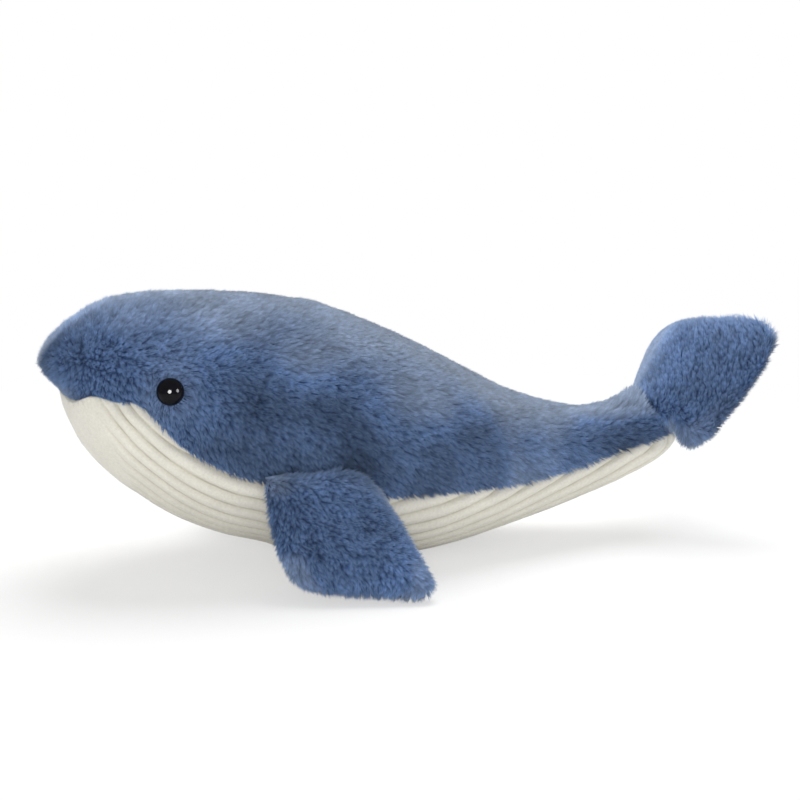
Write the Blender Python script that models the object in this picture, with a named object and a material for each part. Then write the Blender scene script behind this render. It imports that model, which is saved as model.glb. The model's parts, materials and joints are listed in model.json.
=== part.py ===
# A plush whale that lies on its belly, snout towards -X and tail towards +X, in metres with Z up.
# Two fur side panels and a ribbed belly panel are sewn round a fibre filled body. Two flippers and a
# tail fluke, each two panels sewn round their own filling, swing at their root seams.
import math

import bmesh
import bpy
import numpy as np
from mathutils import Vector

# Body, from the snout tip to the seam at the end of the tail stalk
BODY_LENGTH = 0.426
BODY_HEIGHT = 0.184
BODY_WIDTH = 0.167
SNOUT_AHEAD_SHARE = 0.4906  # of the length: snout tip ahead of the middle of the resting face
SECTION_POWER = 2.15  # 2 is an ellipse, more is squarer
# Each row: place along the body, height of the centre, half height, half width, tilt in degrees,
# belly seam's height in the half height, and the steps to the next row. Shares of length, height,
# height and width.
STATION_SHARES = (
    (0.000, 0.760, 0.000, 0.000, 0, -1.00, 1),
    (0.007, 0.761, 0.046, 0.112, 0, -1.00, 1),
    (0.017, 0.759, 0.078, 0.176, 0, -1.00, 1),
    (0.039, 0.754, 0.130, 0.252, 0, -1.00, 3),
    (0.052, 0.730, 0.177, 0.284, 0, -0.46, 2),
    (0.068, 0.700, 0.228, 0.315, 0, -0.12, 2),
    (0.099, 0.673, 0.293, 0.361, 0, 0.00, 1),
    (0.129, 0.647, 0.339, 0.396, 0, 0.07, 2),
    (0.190, 0.599, 0.397, 0.449, 0, -0.19, 2),
    (0.265, 0.556, 0.437, 0.485, 0, -0.32, 2),
    (0.345, 0.519, 0.456, 0.500, 0, -0.35, 1),
    (0.393, 0.4765, 0.4795, 0.499, 0, -0.33, 1),
    (0.441, 0.458, 0.481, 0.493, 0, -0.31, 2),
    (0.538, 0.409, 0.430, 0.461, 0, -0.27, 2),
    (0.636, 0.363, 0.359, 0.401, 0, -0.22, 2),
    (0.737, 0.323, 0.268, 0.311, 0, -0.17, 2),
    (0.805, 0.313, 0.218, 0.257, 0, -0.07, 1),
    (0.876, 0.323, 0.174, 0.210, 5, 0.03, 1),
    (0.927, 0.350, 0.156, 0.186, 18, 0.02, 2),
    (0.969, 0.391, 0.139, 0.174, 32, -0.19, 2),
    (1.000, 0.438, 0.120, 0.168, 42, -0.70, 0),
)
CHIN_STATION = 3  # the row where the belly panel's front point lies
SIDE_COLUMNS = 10
CORE_COLUMNS = 20

# Cloth and filling
FUR_DEPTH = 0.0055  # cloth with its pile
RIB_CLOTH_DEPTH = 0.0050
REST_CLOTH_DEPTH = 0.0036  # belly cloth pressed by the toy's weight
SEAM_GAP = 0.0006
FILL_GAP = 0.0008
LIMB_FILL_GAP = 0.0008
RIB_PITCH = 0.0110
RIB_HEIGHT = 0.0016
RIB_FADE_SHARES = (0.06, 0.16)  # along the body, where the ribs begin and reach full height

# Flippers. Places along the body and shares of the flipper's own sizes.
FLIPPER_FRONT_SHARE = 0.309
FLIPPER_REAR_SHARE = 0.512
FLIPPER_SPAN = 0.068
FLIPPER_CHORD = 0.088
FLIPPER_TOP_DEPTH = 0.0150
FLIPPER_UNDER_DEPTH = 0.0110
FLIPPER_SWEEP = 0.021
FLIPPER_SLANT = 0.003  # how much longer the rear edge is than the middle, and the front edge shorter
FLIPPER_TWIST = 0.0150  # how far the rear tip corner stands out, and the front one in
FLIPPER_DROOP = 55  # degrees below level
FLIPPER_ROOT_GAP = 0.0008
FLIPPER_RIM_POWER = 2.4  # how full the section stays towards its front and rear edges
# From root to tip: (place along the span, share of the chord or depth there)
FLIPPER_WIDTH_SHARES = (
    (0.00, 0.94),
    (0.30, 1.00),
    (0.60, 1.03),
    (0.85, 1.00),
    (0.95, 0.92),
    (1.00, 0.78),
)
FLIPPER_DEPTH_SHARES = (
    (0.00, 0.00),
    (0.05, 0.45),
    (0.15, 0.75),
    (0.35, 1.00),
    (0.70, 0.92),
    (1.00, 0.62),
)
FLIPPER_STEPS = (7, 10)  # rows from root to tip and columns from front to rear

# Fluke
FLUKE_CHORD = 0.090
FLUKE_HALF_SPAN = 0.076
FLUKE_ROOT_DEPTH = 0.0204
FLUKE_NOTCH = 0.017  # how far the middle of the rear edge is drawn in
FLUKE_DIP = 0.100  # how far a lobe's front edge would drop below the root at the full half span
FLUKE_RISE = 64  # degrees above level
FLUKE_ARCH = 19  # degrees that the near lobe leans back
FLUKE_FAR_ARCH = 20  # the same for the far lobe
FLUKE_FAR_SLUMP = 0.034  # how much further the far lobe's tip has sunk
FLUKE_ARCH_ROUND = 0.012  # roundness of the bend between the lobes
FLUKE_LOBE_THINNING = 0.3  # how much thinner a lobe's tip is than the middle
FLUKE_RIM_POWER = 2.3
FLUKE_YAW = 8  # degrees, as the soft tail lies in the photographed toy
# From root to rear edge: (place along the chord, share of the half span or depth there)
FLUKE_WIDTH_SHARES = (
    (0.00, 0.36),
    (0.10, 0.58),
    (0.25, 0.74),
    (0.50, 0.86),
    (0.75, 0.94),
    (0.88, 0.92),
    (0.95, 0.82),
    (1.00, 0.62),
)
FLUKE_DEPTH_SHARES = (
    (0.00, 1.00),
    (0.15, 0.86),
    (0.30, 0.76),
    (0.50, 0.70),
    (0.75, 0.60),
    (1.00, 0.42),
)
FLUKE_STEPS = (8, 14)  # rows from root to rear edge and columns across
FLUKE_BARE_STEPS = 2  # rows of its panels before its filling begins
FLUKE_ROOT_GAP = 0.0004
FLUKE_BESIDE = 0.006  # how far beside the stalk's end a lobe must be before it may hang back along it
RIM_END_POWER = 8  # how blunt the ends of the flippers and the fluke are
BEND_WEDGE = 10.5  # degrees that each root face falls away from the hinge, so that the fluke can bend

# Eyes
EYE_PLACE_SHARE = 0.176
EYE_HEIGHT_SHARE = 0.283
EYE_RADIUS = 0.0087
EYE_DOME = 0.0072
EYE_SINK = 0.0034
STEM_RADIUS = 0.0022
STEM_LENGTH = 0.0150
WASHER_RADIUS = 0.0076
WASHER_DEPTH = 0.0022
EYE_GAP = 0.0003
POCKET_DEPTH = 0.0120
TURNED_SIDES = 24
DOME_STEPS = 6

# Pellet pouch, low in the belly over the resting face
POUCH_LENGTH_SHARE = 0.197  # of the body's length, as the flat of the belly is
POUCH_WIDTH = 0.046
POUCH_HEIGHT = 0.030
POUCH_AFT_SHARE = 0.005
POUCH_ROUND_SHARE = 0.6  # half height of its round form in its height
POUCH_CLOTH = 0.0010
POUCH_MOUTH = 0.0040
POUCH_MOUTH_DEPTH = 0.0080
POUCH_STEPS = (20, 10)

# Closing seam, on the far side behind the flipper
THREAD_RADIUS = 0.0006
THREAD_SPAN_SHARES = (0.60, 0.74)
THREAD_STEPS = 12
THREAD_SIDES = 6

# Shared by the functions below
WELD = 1e-7
OVERRUN = 0.004  # how far a cutter stands past what it cuts
NUDGE = 0.02  # in rows or radians, for the slope at a point
ARC_STEPS = 60
HALVINGS = 40
ROOT_STEPS = 12


def eased(table, at, column):
    """Smooth value of one column of STATION_SHARES at a station number that may lie between rows."""
    last = len(table) - 1
    first = min(int(math.floor(at)), last - 1)
    part = at - first
    values = [table[min(max(first + k, 0), last)][column] for k in (-1, 0, 1, 2)]
    slopes = ((values[2] - values[0]) / 2, (values[3] - values[1]) / 2)
    return (
        values[1] * (2 * part**3 - 3 * part**2 + 1)
        + slopes[0] * (part**3 - 2 * part**2 + part)
        + values[2] * (3 * part**2 - 2 * part**3)
        + slopes[1] * (part**3 - part**2)
    )


def powered(value, power):
    return math.copysign(abs(value) ** power, value)


def body_frame(at):
    """Centre, half height, half width and up direction of the body's section at a station number."""
    along, centre, half_height, half_width, tilt = (eased(STATION_SHARES, at, k) for k in range(5))
    middle = np.array(((along - SNOUT_AHEAD_SHARE) * BODY_LENGTH, 0, centre * BODY_HEIGHT))
    up = np.array((-math.sin(math.radians(tilt)), 0, math.cos(math.radians(tilt))))
    return middle, max(half_height, 0) * BODY_HEIGHT, max(half_width, 0) * BODY_WIDTH, up


def body_point(at, turn):
    """Point of the body's outside. turn runs from 0 on the back to pi on the belly, over the left side."""
    middle, half_height, half_width, up = body_frame(at)
    power = 2 / SECTION_POWER
    side = np.array((0, -half_width * powered(math.sin(turn), power), 0))
    return middle + up * half_height * powered(math.cos(turn), power) + side


def body_normal(at, turn):
    if at <= 0:
        return np.array((-1.0, 0.0, 0.0))
    last = len(STATION_SHARES) - 1
    along = body_point(min(at + NUDGE, last), turn) - body_point(max(at - NUDGE, 0), turn)
    around = body_point(at, turn + NUDGE) - body_point(at, turn - NUDGE)
    normal = np.cross(around, along)
    if normal @ (body_point(at, turn) - body_frame(at)[0]) < 0:
        normal = -normal
    return normal / np.linalg.norm(normal)


def station_at(along_share):
    """Station number of a place along the body."""
    low, high = 0.0, len(STATION_SHARES) - 1.0
    for _ in range(HALVINGS):
        middle = (low + high) / 2
        if eased(STATION_SHARES, middle, 0) < along_share:
            low = middle
        else:
            high = middle
    return (low + high) / 2


def turn_at(height_share):
    """Turn at which the section's height is this share of its half height."""
    return math.acos(powered(min(max(height_share, -1), 1), SECTION_POWER / 2))


def seam_turn(at):
    if at <= CHIN_STATION:
        return math.pi
    return turn_at(eased(STATION_SHARES, at, 5))


def turn_for(at, turn, length):
    """The change of turn that moves a point this far round the section."""
    chord = np.linalg.norm(body_point(at, turn + NUDGE) - body_point(at, turn - NUDGE))
    return length / max(chord / (2 * NUDGE), length)


def body_rows():
    rows = []
    for number, row in enumerate(STATION_SHARES):
        rows += [number + step / row[6] for step in range(row[6])]
    return rows + [len(STATION_SHARES) - 1]


def wedged(point, at):
    """Draws the last section back away from the hinge line across its middle."""
    if at < len(STATION_SHARES) - 1:
        return point
    middle, _, _, up = body_frame(at)
    ahead = np.array((up[2], 0, -up[0]))
    height = abs((point - middle) @ up)
    return point - ahead * (height * math.tan(math.radians(BEND_WEDGE)) + FLUKE_ROOT_GAP / 2)


def skin(at, turn, depth, floor):
    """Point this deep under the body's outside, no lower than the floor given."""
    point = wedged(body_point(at, turn) - body_normal(at, turn) * depth, at)
    return np.array((point[0], point[1], max(point[2], floor)))


def material(name, colour, roughness):
    made = bpy.data.materials.new(name)
    made.use_nodes = True
    shader = made.node_tree.nodes["Principled BSDF"]
    shader.inputs["Base Color"].default_value = (*colour, 1)
    shader.inputs["Roughness"].default_value = roughness
    shader.inputs["Metallic"].default_value = 0
    return made


def place(name, mesh, made, pivot=None):
    thing = bpy.data.objects.new(name, mesh)
    bpy.context.collection.objects.link(thing)
    mesh.materials.append(made)
    mesh.shade_smooth()
    if pivot is not None:
        thing.parent = pivot
    return thing


def hinge_point(name, position):
    pivot = bpy.data.objects.new(name, None)
    bpy.context.collection.objects.link(pivot)
    pivot.location = position
    return pivot


def finished(name, bm):
    bmesh.ops.remove_doubles(bm, verts=bm.verts, dist=WELD)
    bmesh.ops.dissolve_degenerate(bm, dist=WELD, edges=bm.edges)
    bmesh.ops.recalc_face_normals(bm, faces=bm.faces)
    mesh = bpy.data.meshes.new(name)
    bm.to_mesh(mesh)
    bm.free()
    return mesh


def between(name, first, second, origin=(0, 0, 0)):
    """Closed mesh between two grids of points of the same size, less the origin given.

    The walls along its rows are split the same way on every panel, so that two sewn walls stay apart.
    """
    bm = bmesh.new()
    move = np.array(origin)
    grids = [[[bm.verts.new(p - move) for p in row] for row in grid] for grid in (first, second)]
    rows, columns = len(first), len(first[0])
    for number, grid in enumerate(grids):
        for i in range(rows - 1):
            for j in range(columns - 1):
                face = [grid[i][j], grid[i][j + 1], grid[i + 1][j + 1], grid[i + 1][j]]
                bm.faces.new(face if number else face[::-1])
    upper, lower = grids
    for i in (0, -1):
        for j in range(columns - 1):
            bm.faces.new((upper[i][j], upper[i][j + 1], lower[i][j + 1], lower[i][j]))
    for j in (0, -1):
        for i in range(rows - 1):
            bm.faces.new((upper[i][j], upper[i + 1][j], lower[i + 1][j]))
            bm.faces.new((upper[i][j], lower[i + 1][j], lower[i][j]))
    return finished(name, bm)


def mirrored(points):
    return [[p * np.array((1, -1, 1)) for p in row] for row in points]


def side_panel_mesh(name, left):
    """Fur from the back to the belly seam, kept clear of the middle plane."""
    grids = ([], [])
    for at in body_rows():
        low = seam_turn(at)
        low -= turn_for(at, low, SEAM_GAP / 2) if low < math.pi else 0
        for grid, depth, floor in zip(grids, (0, FUR_DEPTH), (0, REST_CLOTH_DEPTH)):
            row = [skin(at, low * k / SIDE_COLUMNS, depth, floor) for k in range(SIDE_COLUMNS + 1)]
            for point in row:
                point[1] = min(point[1], -SEAM_GAP / 2)
            grid.append(row)
    if not left:
        grids = tuple(mirrored(grid) for grid in grids)
    return between(name, *grids)


def arc_turns(at, limit):
    """Turns down the left side from the belly's middle, with the distance round to each."""
    turns = [math.pi - (math.pi - limit) * k / ARC_STEPS for k in range(ARC_STEPS + 1)]
    points = [body_point(at, turn) for turn in turns]
    lengths = np.cumsum([0] + [float(np.linalg.norm(b - a)) for a, b in zip(points, points[1:])])
    return turns, lengths


def rib_height(at):
    """How deep the grooves are here: none at the chin and at the very tail."""
    begin, full = RIB_FADE_SHARES
    share = (eased(STATION_SHARES, at, 0) - begin) / (full - begin)
    return RIB_HEIGHT * min(max(share, 0), 1)


def belly_rows():
    """Half of each row: (turn, crest or groove) from the middle out, held at the seam past its end."""
    found = []
    for at in body_rows():
        if at < CHIN_STATION:
            continue
        limit = seam_turn(at)
        if at > CHIN_STATION:
            limit += turn_for(at, limit, SEAM_GAP / 2)
        turns, lengths = arc_turns(at, min(limit, math.pi))
        found.append((at, turns, lengths))
    most = max(lengths[-1] for _, _, lengths in found)
    columns = math.ceil(most / (RIB_PITCH / 2))
    rows = []
    for at, turns, lengths in found:
        row = []
        for column in range(columns + 1):
            distance = column * RIB_PITCH / 2
            edge = distance >= lengths[-1]
            turn = turns[-1] if edge else float(np.interp(distance, lengths, turns))
            row.append((turn, 0.5 if edge else column % 2))
        rows.append((at, row))
    return rows


def belly_panel_mesh(name):
    """Ribbed cloth whose grooves keep one distance from the belly's middle line and end at the seam."""
    outer, inner = [], []
    for at, row in belly_rows():
        halves = []
        for depth, floor, ribbed in ((0, 0, True), (RIB_CLOTH_DEPTH, REST_CLOTH_DEPTH, False)):
            half = []
            for turn, crest in row:
                groove = rib_height(at) * (1 - crest) if ribbed else 0
                half.append(skin(at, turn, depth + groove, floor))
            halves.append(half)
        for grid, half in zip((outer, inner), halves):
            far = [p * np.array((1, -1, 1)) for p in half[1:]]
            grid.append(half[::-1] + far)
    return between(name, outer, inner)


def body_core_mesh(name):
    """Filling, a closed form inside the panels."""
    depth = FUR_DEPTH + FILL_GAP
    floor = REST_CLOTH_DEPTH + FILL_GAP
    bm = bmesh.new()
    rings = []
    for at in body_rows():
        shares = [k / CORE_COLUMNS for k in range(CORE_COLUMNS)]
        turns = [2 * math.pi * (s if s <= 0.5 else s - 1) for s in shares]
        ring = [skin(at, turn, depth, floor) for turn in turns]
        rings.append([bm.verts.new(p) for p in ring])
    for a, b in zip(rings, rings[1:]):
        for k in range(CORE_COLUMNS):
            bm.faces.new((a[k], a[k - 1], b[k - 1], b[k]))
    middle, _, _, up = body_frame(len(STATION_SHARES) - 1)
    ahead = np.array((up[2], 0, -up[0]))
    hub = bm.verts.new(middle - ahead * FLUKE_ROOT_GAP / 2)
    for k in range(CORE_COLUMNS):
        bm.faces.new((rings[-1][k], rings[-1][k - 1], hub))
    return finished(name, bm)


def ellipsoid(bm, radii, centre, steps, floor=None):
    """Closed ellipsoid in bm. Points under the floor are lifted to it."""
    around, down = steps
    rings = []
    for i in range(1, down):
        lean = math.pi * i / down
        ring = []
        for k in range(around):
            turn = 2 * math.pi * k / around
            unit = (math.sin(lean) * math.cos(turn), math.sin(lean) * math.sin(turn), math.cos(lean))
            ring.append([c + r * u for c, r, u in zip(centre, radii, unit)])
        rings.append(ring)
    ends = [[centre[0], centre[1], centre[2] + radii[2]], [centre[0], centre[1], centre[2] - radii[2]]]
    for point in [p for ring in rings for p in ring] + ends:
        point[2] = point[2] if floor is None else max(point[2], floor)
    made = [[bm.verts.new(p) for p in ring] for ring in rings]
    top, low = (bm.verts.new(p) for p in ends)
    for a, b in zip(made, made[1:]):
        for k in range(around):
            bm.faces.new((a[k], b[k], b[k - 1], a[k - 1]))
    for k in range(around):
        bm.faces.new((top, made[0][k], made[0][k - 1]))
        bm.faces.new((low, made[-1][k - 1], made[-1][k]))


def dome(bm, radii, centre, steps, base):
    """Upper half of an ellipsoid on straight sides that run down to a base."""
    around, down = steps
    rings = []
    for i in range(1, down // 2 + 2):
        lean = min(math.pi * i / down, math.pi / 2)
        height = base if i > down // 2 else centre[2] + radii[2] * math.cos(lean)
        turns = [2 * math.pi * k / around for k in range(around)]
        reach = [r * math.sin(lean) for r in radii]
        ends = [(reach[0] * math.cos(t), reach[1] * math.sin(t)) for t in turns]
        rings.append([bm.verts.new((centre[0] + x, centre[1] + y, height)) for x, y in ends])
    top = bm.verts.new((centre[0], centre[1], centre[2] + radii[2]))
    for a, b in zip(rings, rings[1:]):
        for k in range(around):
            bm.faces.new((a[k], b[k], b[k - 1], a[k - 1]))
    for k in range(around):
        bm.faces.new((top, rings[0][k], rings[0][k - 1]))
    bm.faces.new(rings[-1])


def solid(name, maker, *sizes):
    bm = bmesh.new()
    maker(bm, *sizes)
    return finished(name, bm)


def cutter(name, mesh):
    thing = bpy.data.objects.new(name, mesh)
    bpy.context.collection.objects.link(thing)
    thing.hide_render = True
    thing.display_type = "WIRE"
    return thing


def cut(thing, tool):
    change = thing.modifiers.new(tool.name, "BOOLEAN")
    change.operation = "DIFFERENCE"
    change.object = tool


def turned(bm, profile, position, axis):
    """Solid turned from (radius, height) points, with its height along the axis given."""
    direction = Vector(axis).to_track_quat("Z", "Y")
    rings = []
    for radius, height in profile:
        sides = TURNED_SIDES if radius > 0 else 1
        ring = []
        for k in range(sides):
            turn = 2 * math.pi * k / TURNED_SIDES
            local = Vector((radius * math.cos(turn), radius * math.sin(turn), height))
            ring.append(bm.verts.new(direction @ local + Vector(position)))
        rings.append(ring)
    for a, b in zip(rings, rings[1:]):
        for k in range(TURNED_SIDES):
            corners = (a[k % len(a)], a[(k - 1) % len(a)], b[(k - 1) % len(b)], b[k % len(b)])
            unlike = list(dict.fromkeys(corners))
            if len(unlike) > 2:
                bm.faces.new(unlike)


def eye_profile():
    """Dome over a flat back, and the stem behind it. Heights from the cloth under the eye."""
    dome = []
    for k in range(DOME_STEPS + 1):
        turn = math.pi / 2 * k / DOME_STEPS
        dome.append((EYE_RADIUS * math.sin(turn), EYE_DOME * math.cos(turn)))
    dome[-1] = (EYE_RADIUS, 0)
    return dome + [(STEM_RADIUS, 0), (STEM_RADIUS, -STEM_LENGTH), (0, -STEM_LENGTH)]


def eye_cut_profile():
    """Seat in the fur for the dome, and the hole in the cloth for the stem."""
    wide = EYE_RADIUS + EYE_GAP
    hole = STEM_RADIUS + EYE_GAP
    high = OVERRUN + EYE_SINK
    low = -(FUR_DEPTH + OVERRUN)
    return ((0, high), (wide, high), (wide, -EYE_GAP), (hole, -EYE_GAP), (hole, low), (0, low))


def washer_profile():
    """Ring on the stem, just inside the cloth."""
    top = -(FUR_DEPTH - EYE_SINK + 2 * EYE_GAP + FILL_GAP)
    hole = STEM_RADIUS + EYE_GAP
    low = top - WASHER_DEPTH
    return ((hole, top), (WASHER_RADIUS, top), (WASHER_RADIUS, low), (hole, low), (hole, top))


def washer_pocket_profile():
    wide = WASHER_RADIUS + FILL_GAP
    narrow = STEM_RADIUS + FILL_GAP
    low = -(STEM_LENGTH + FILL_GAP)
    return ((0, OVERRUN), (wide, OVERRUN), (wide, -POCKET_DEPTH), (narrow, low), (0, low))


def eye_seat(side):
    """Middle of the eye's back, and the way it faces."""
    at = station_at(EYE_PLACE_SHARE)
    turn = turn_at(EYE_HEIGHT_SHARE)
    flip = np.array((1, side, 1))
    normal = body_normal(at, turn)
    return (body_point(at, turn) - normal * EYE_SINK) * flip, normal * flip


def interpolate(table, share):
    return float(np.interp(share, [row[0] for row in table], [row[1] for row in table]))


def spread(count):
    """Shares from -1 to 1, closer together at the ends."""
    return [-math.cos(math.pi * k / count) for k in range(count + 1)]


def edge_share(place, power):
    """Share of the full depth left at a place that is 0 in the middle and 1 or -1 at an edge."""
    return math.sqrt(max(1 - abs(place) ** power, 0))


def flipper_local(along, across, top, inset):
    """Point of a flipper's face as (chord, span, depth) from its hinge."""
    width = FLIPPER_CHORD / 2 * interpolate(FLIPPER_WIDTH_SHARES, along) - inset
    depth = FLIPPER_TOP_DEPTH if top else FLIPPER_UNDER_DEPTH
    full = depth * interpolate(FLIPPER_DEPTH_SHARES, along)
    rim = edge_share(across, FLIPPER_RIM_POWER) * edge_share(along, RIM_END_POWER)
    thick = full * rim * (depth - inset) / depth
    share = across * width / (FLIPPER_CHORD / 2)
    span = inset + along * (FLIPPER_SPAN + FLIPPER_SLANT * share - 2 * inset)
    reach = span / FLIPPER_SPAN
    chord = width * across + FLIPPER_SWEEP * reach
    lift = FLIPPER_TWIST * reach * share
    return chord, span, lift, thick if top else -thick


def flipper_axes():
    """Hinge point and the directions of chord, span and depth of the left flipper."""
    front, rear = (station_at(share) for share in (FLIPPER_FRONT_SHARE, FLIPPER_REAR_SHARE))
    ends = [body_point(at, seam_turn(at)) for at in (front, rear)]
    chord = (ends[1] - ends[0]) / np.linalg.norm(ends[1] - ends[0])
    middle = (ends[0] + ends[1]) / 2
    at = (front + rear) / 2
    outward = body_normal(at, seam_turn(at))
    outward -= chord * (outward @ chord)
    outward /= np.linalg.norm(outward)
    nearby = [front + (rear - front) * k / ROOT_STEPS for k in range(ROOT_STEPS + 1)]
    bulge = max((body_point(n, seam_turn(n)) - middle) @ outward for n in nearby)
    hinge = middle + outward * (bulge + FLIPPER_ROOT_GAP)
    droop = math.radians(FLIPPER_DROOP)
    span = np.array((0, -math.cos(droop), -math.sin(droop)))
    span -= chord * (span @ chord)
    span /= np.linalg.norm(span)
    depth = np.cross(chord, span)
    return hinge, chord, span, depth if depth[1] < 0 else -depth


def flipper_grid(top, inset, gap, side):
    hinge, chord, span, depth = flipper_axes()
    rows, columns = FLIPPER_STEPS
    grid = []
    for i in range(rows + 1):
        along = (1 + spread(rows)[i]) / 2
        row = []
        for across in spread(columns):
            c, s, lift, thick = flipper_local(along, across, top, inset)
            n = lift + thick + (gap if top else -gap)
            row.append((hinge + chord * c + span * s + depth * n) * np.array((1, side, 1)))
        grid.append(row)
    return grid


def fluke_local(along, across, top, inset):
    """Point of the fluke's face as (lateral, chord, depth) from its hinge."""
    half = FLUKE_HALF_SPAN * interpolate(FLUKE_WIDTH_SHARES, along) - inset
    lateral = half * across
    outward = abs(lateral) / FLUKE_HALF_SPAN
    end = FLUKE_CHORD - FLUKE_NOTCH * (1 - min(outward, 1)) ** 2 - inset
    end -= FLUKE_FAR_SLUMP * outward if lateral < 0 else 0
    root = FLUKE_HALF_SPAN * FLUKE_WIDTH_SHARES[0][1]
    drop = FLUKE_DIP * max(abs(lateral) - root, 0) / FLUKE_HALF_SPAN * (1 - along) ** 2
    full = FLUKE_ROOT_DEPTH * interpolate(FLUKE_DEPTH_SHARES, along)
    rim = edge_share(across, FLUKE_RIM_POWER) * edge_share(along, RIM_END_POWER)
    full *= (1 - FLUKE_LOBE_THINNING * outward) * (FLUKE_ROOT_DEPTH - inset) / FLUKE_ROOT_DEPTH
    thick = full * rim
    lean = math.tan(math.radians(FLUKE_ARCH if lateral > 0 else FLUKE_FAR_ARCH))
    arch = lean * (math.hypot(lateral, FLUKE_ARCH_ROUND) - FLUKE_ARCH_ROUND)
    beside = min(max(abs(lateral) + inset - root, 0) / FLUKE_BESIDE, 1)
    wall = inset * beside * (1 - along) ** 2
    return lateral, along * end - drop + wall, -arch, thick if top else -thick


def fluke_axes():
    """Hinge point and the directions of span, chord and depth of the fluke."""
    middle, _, _, up = body_frame(len(STATION_SHARES) - 1)
    ahead = np.array((up[2], 0, -up[0]))
    hinge = middle + ahead * FLUKE_ROOT_GAP / 2
    rise, yaw = math.radians(FLUKE_RISE), math.radians(FLUKE_YAW)
    level = np.array((math.cos(yaw), math.sin(yaw), 0))
    lateral = np.array((math.sin(yaw), -math.cos(yaw), 0))
    chord = level * math.cos(rise) + np.array((0, 0, math.sin(rise)))
    depth = np.cross(lateral, chord)
    return hinge, lateral, chord, depth if depth[2] > 0 else -depth, ahead, up


def fluke_grid(top, inset, gap, start=0):
    hinge, lateral, chord, depth, ahead, up = fluke_axes()
    rows, columns = FLUKE_STEPS
    slant = math.tan(math.radians(BEND_WEDGE))
    root = FLUKE_HALF_SPAN * FLUKE_WIDTH_SHARES[0][1]
    grid = []
    for i in range(rows + 1):
        along = (1 + spread(rows)[max(i, start)]) / 2
        row = []
        for across in spread(columns):
            q, p, arch, thick = fluke_local(along, across, top, inset)
            n = arch + thick + (gap if top else -gap)
            point = hinge + lateral * q + chord * p + depth * n
            beside = abs(q) - root
            wall = min(max(beside + inset, 0), inset)
            free = max(beside + inset - FLUKE_BESIDE, 0)
            needed = abs((point - hinge) @ up) * slant + wall - free
            row.append(point + ahead * max(needed - (point - hinge) @ ahead, 0))
        grid.append(row)
    return grid


def thread_points():
    """Along the far belly seam, in the space between the cloth and the filling."""
    begin, end = (station_at(share) for share in THREAD_SPAN_SHARES)
    points = []
    for k in range(THREAD_STEPS + 1):
        at = begin + (end - begin) * k / THREAD_STEPS
        depth = FUR_DEPTH + SEAM_GAP + THREAD_RADIUS
        points.append(skin(at, seam_turn(at), depth, 0) * np.array((1, -1, 1)))
    return points


def tube_mesh(name, points, radius):
    """Tube through the points, with closed ends."""
    bm = bmesh.new()
    turns = [2 * math.pi * s / THREAD_SIDES for s in range(THREAD_SIDES)]
    rings = []
    for k, point in enumerate(points):
        ahead = points[min(k + 1, len(points) - 1)] - points[max(k - 1, 0)]
        across = np.cross(ahead, (0, 0, 1))
        across /= np.linalg.norm(across)
        up = np.cross(across, ahead)
        up /= np.linalg.norm(up)
        around = [across * math.cos(t) + up * math.sin(t) for t in turns]
        rings.append([bm.verts.new(point + radius * way) for way in around])
    for a, b in zip(rings, rings[1:]):
        for k in range(THREAD_SIDES):
            bm.faces.new((a[k - 1], a[k], b[k], b[k - 1]))
    bm.faces.new(rings[0])
    bm.faces.new(rings[-1][::-1])
    return finished(name, bm)


def make_body(fur, rib_cloth, fibre):
    left = place("left_side_panel", side_panel_mesh("left_side_panel", True), fur)
    right = place("right_side_panel", side_panel_mesh("right_side_panel", False), fur)
    place("belly_panel", belly_panel_mesh("belly_panel"), rib_cloth)
    core = place("body_stuffing", body_core_mesh("body_stuffing"), fibre)
    return left, right, core


def make_eyes(panels, core, shiny, nylon):
    for side, panel in zip((1, -1), panels):
        word = "left" if side > 0 else "right"
        position, axis = eye_seat(side)
        eye = f"{word}_eye"
        place(eye, solid(eye, turned, eye_profile(), position, axis), shiny)
        washer = f"{word}_eye_washer"
        place(washer, solid(washer, turned, washer_profile(), position, axis), nylon)
        seat = solid("seat", turned, eye_cut_profile(), position, axis)
        cut(panel, cutter(f"{word}_eye_seat_cut", seat))
        pocket = solid("pocket", turned, washer_pocket_profile(), position, axis)
        cut(core, cutter(f"{word}_washer_pocket_cut", pocket))


def make_pouch(core, cotton, pellets):
    """Bag of pellets on the belly cloth. Its sewn mouth is an opening at the tail end."""
    floor = REST_CLOTH_DEPTH + FILL_GAP
    length = BODY_LENGTH * POUCH_LENGTH_SHARE
    radii = (length / 2, POUCH_WIDTH / 2, POUCH_HEIGHT * POUCH_ROUND_SHARE)
    centre = (BODY_LENGTH * POUCH_AFT_SHARE, 0, floor + POUCH_HEIGHT - radii[2])
    outside = solid("bean_pouch", ellipsoid, radii, centre, POUCH_STEPS, floor)
    bag = place("bean_pouch", outside, cotton)
    inner = [r - POUCH_CLOTH for r in radii]
    hollow = solid("hollow", ellipsoid, inner, centre, POUCH_STEPS, floor + POUCH_CLOTH)
    cut(bag, cutter("pouch_hollow_cut", hollow))
    mouth_place = (centre[0] + radii[0], 0, centre[2])
    low, high = -POUCH_MOUTH_DEPTH, OVERRUN
    profile = ((0, low), (POUCH_MOUTH, low), (POUCH_MOUTH, high), (0, high))
    mouth = solid("mouth", turned, profile, mouth_place, (1, 0, 0))
    cut(bag, cutter("pouch_mouth_cut", mouth))
    fill = [r - POUCH_CLOTH - LIMB_FILL_GAP for r in radii]
    base = floor + POUCH_CLOTH + LIMB_FILL_GAP
    place("pellet_fill", solid("pellet_fill", ellipsoid, fill, centre, POUCH_STEPS, base), pellets)
    reach = [r + FILL_GAP for r in radii]
    room = solid("room", dome, reach, centre, POUCH_STEPS, floor - OVERRUN)
    cut(core, cutter("pouch_room_cut", room))


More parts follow.
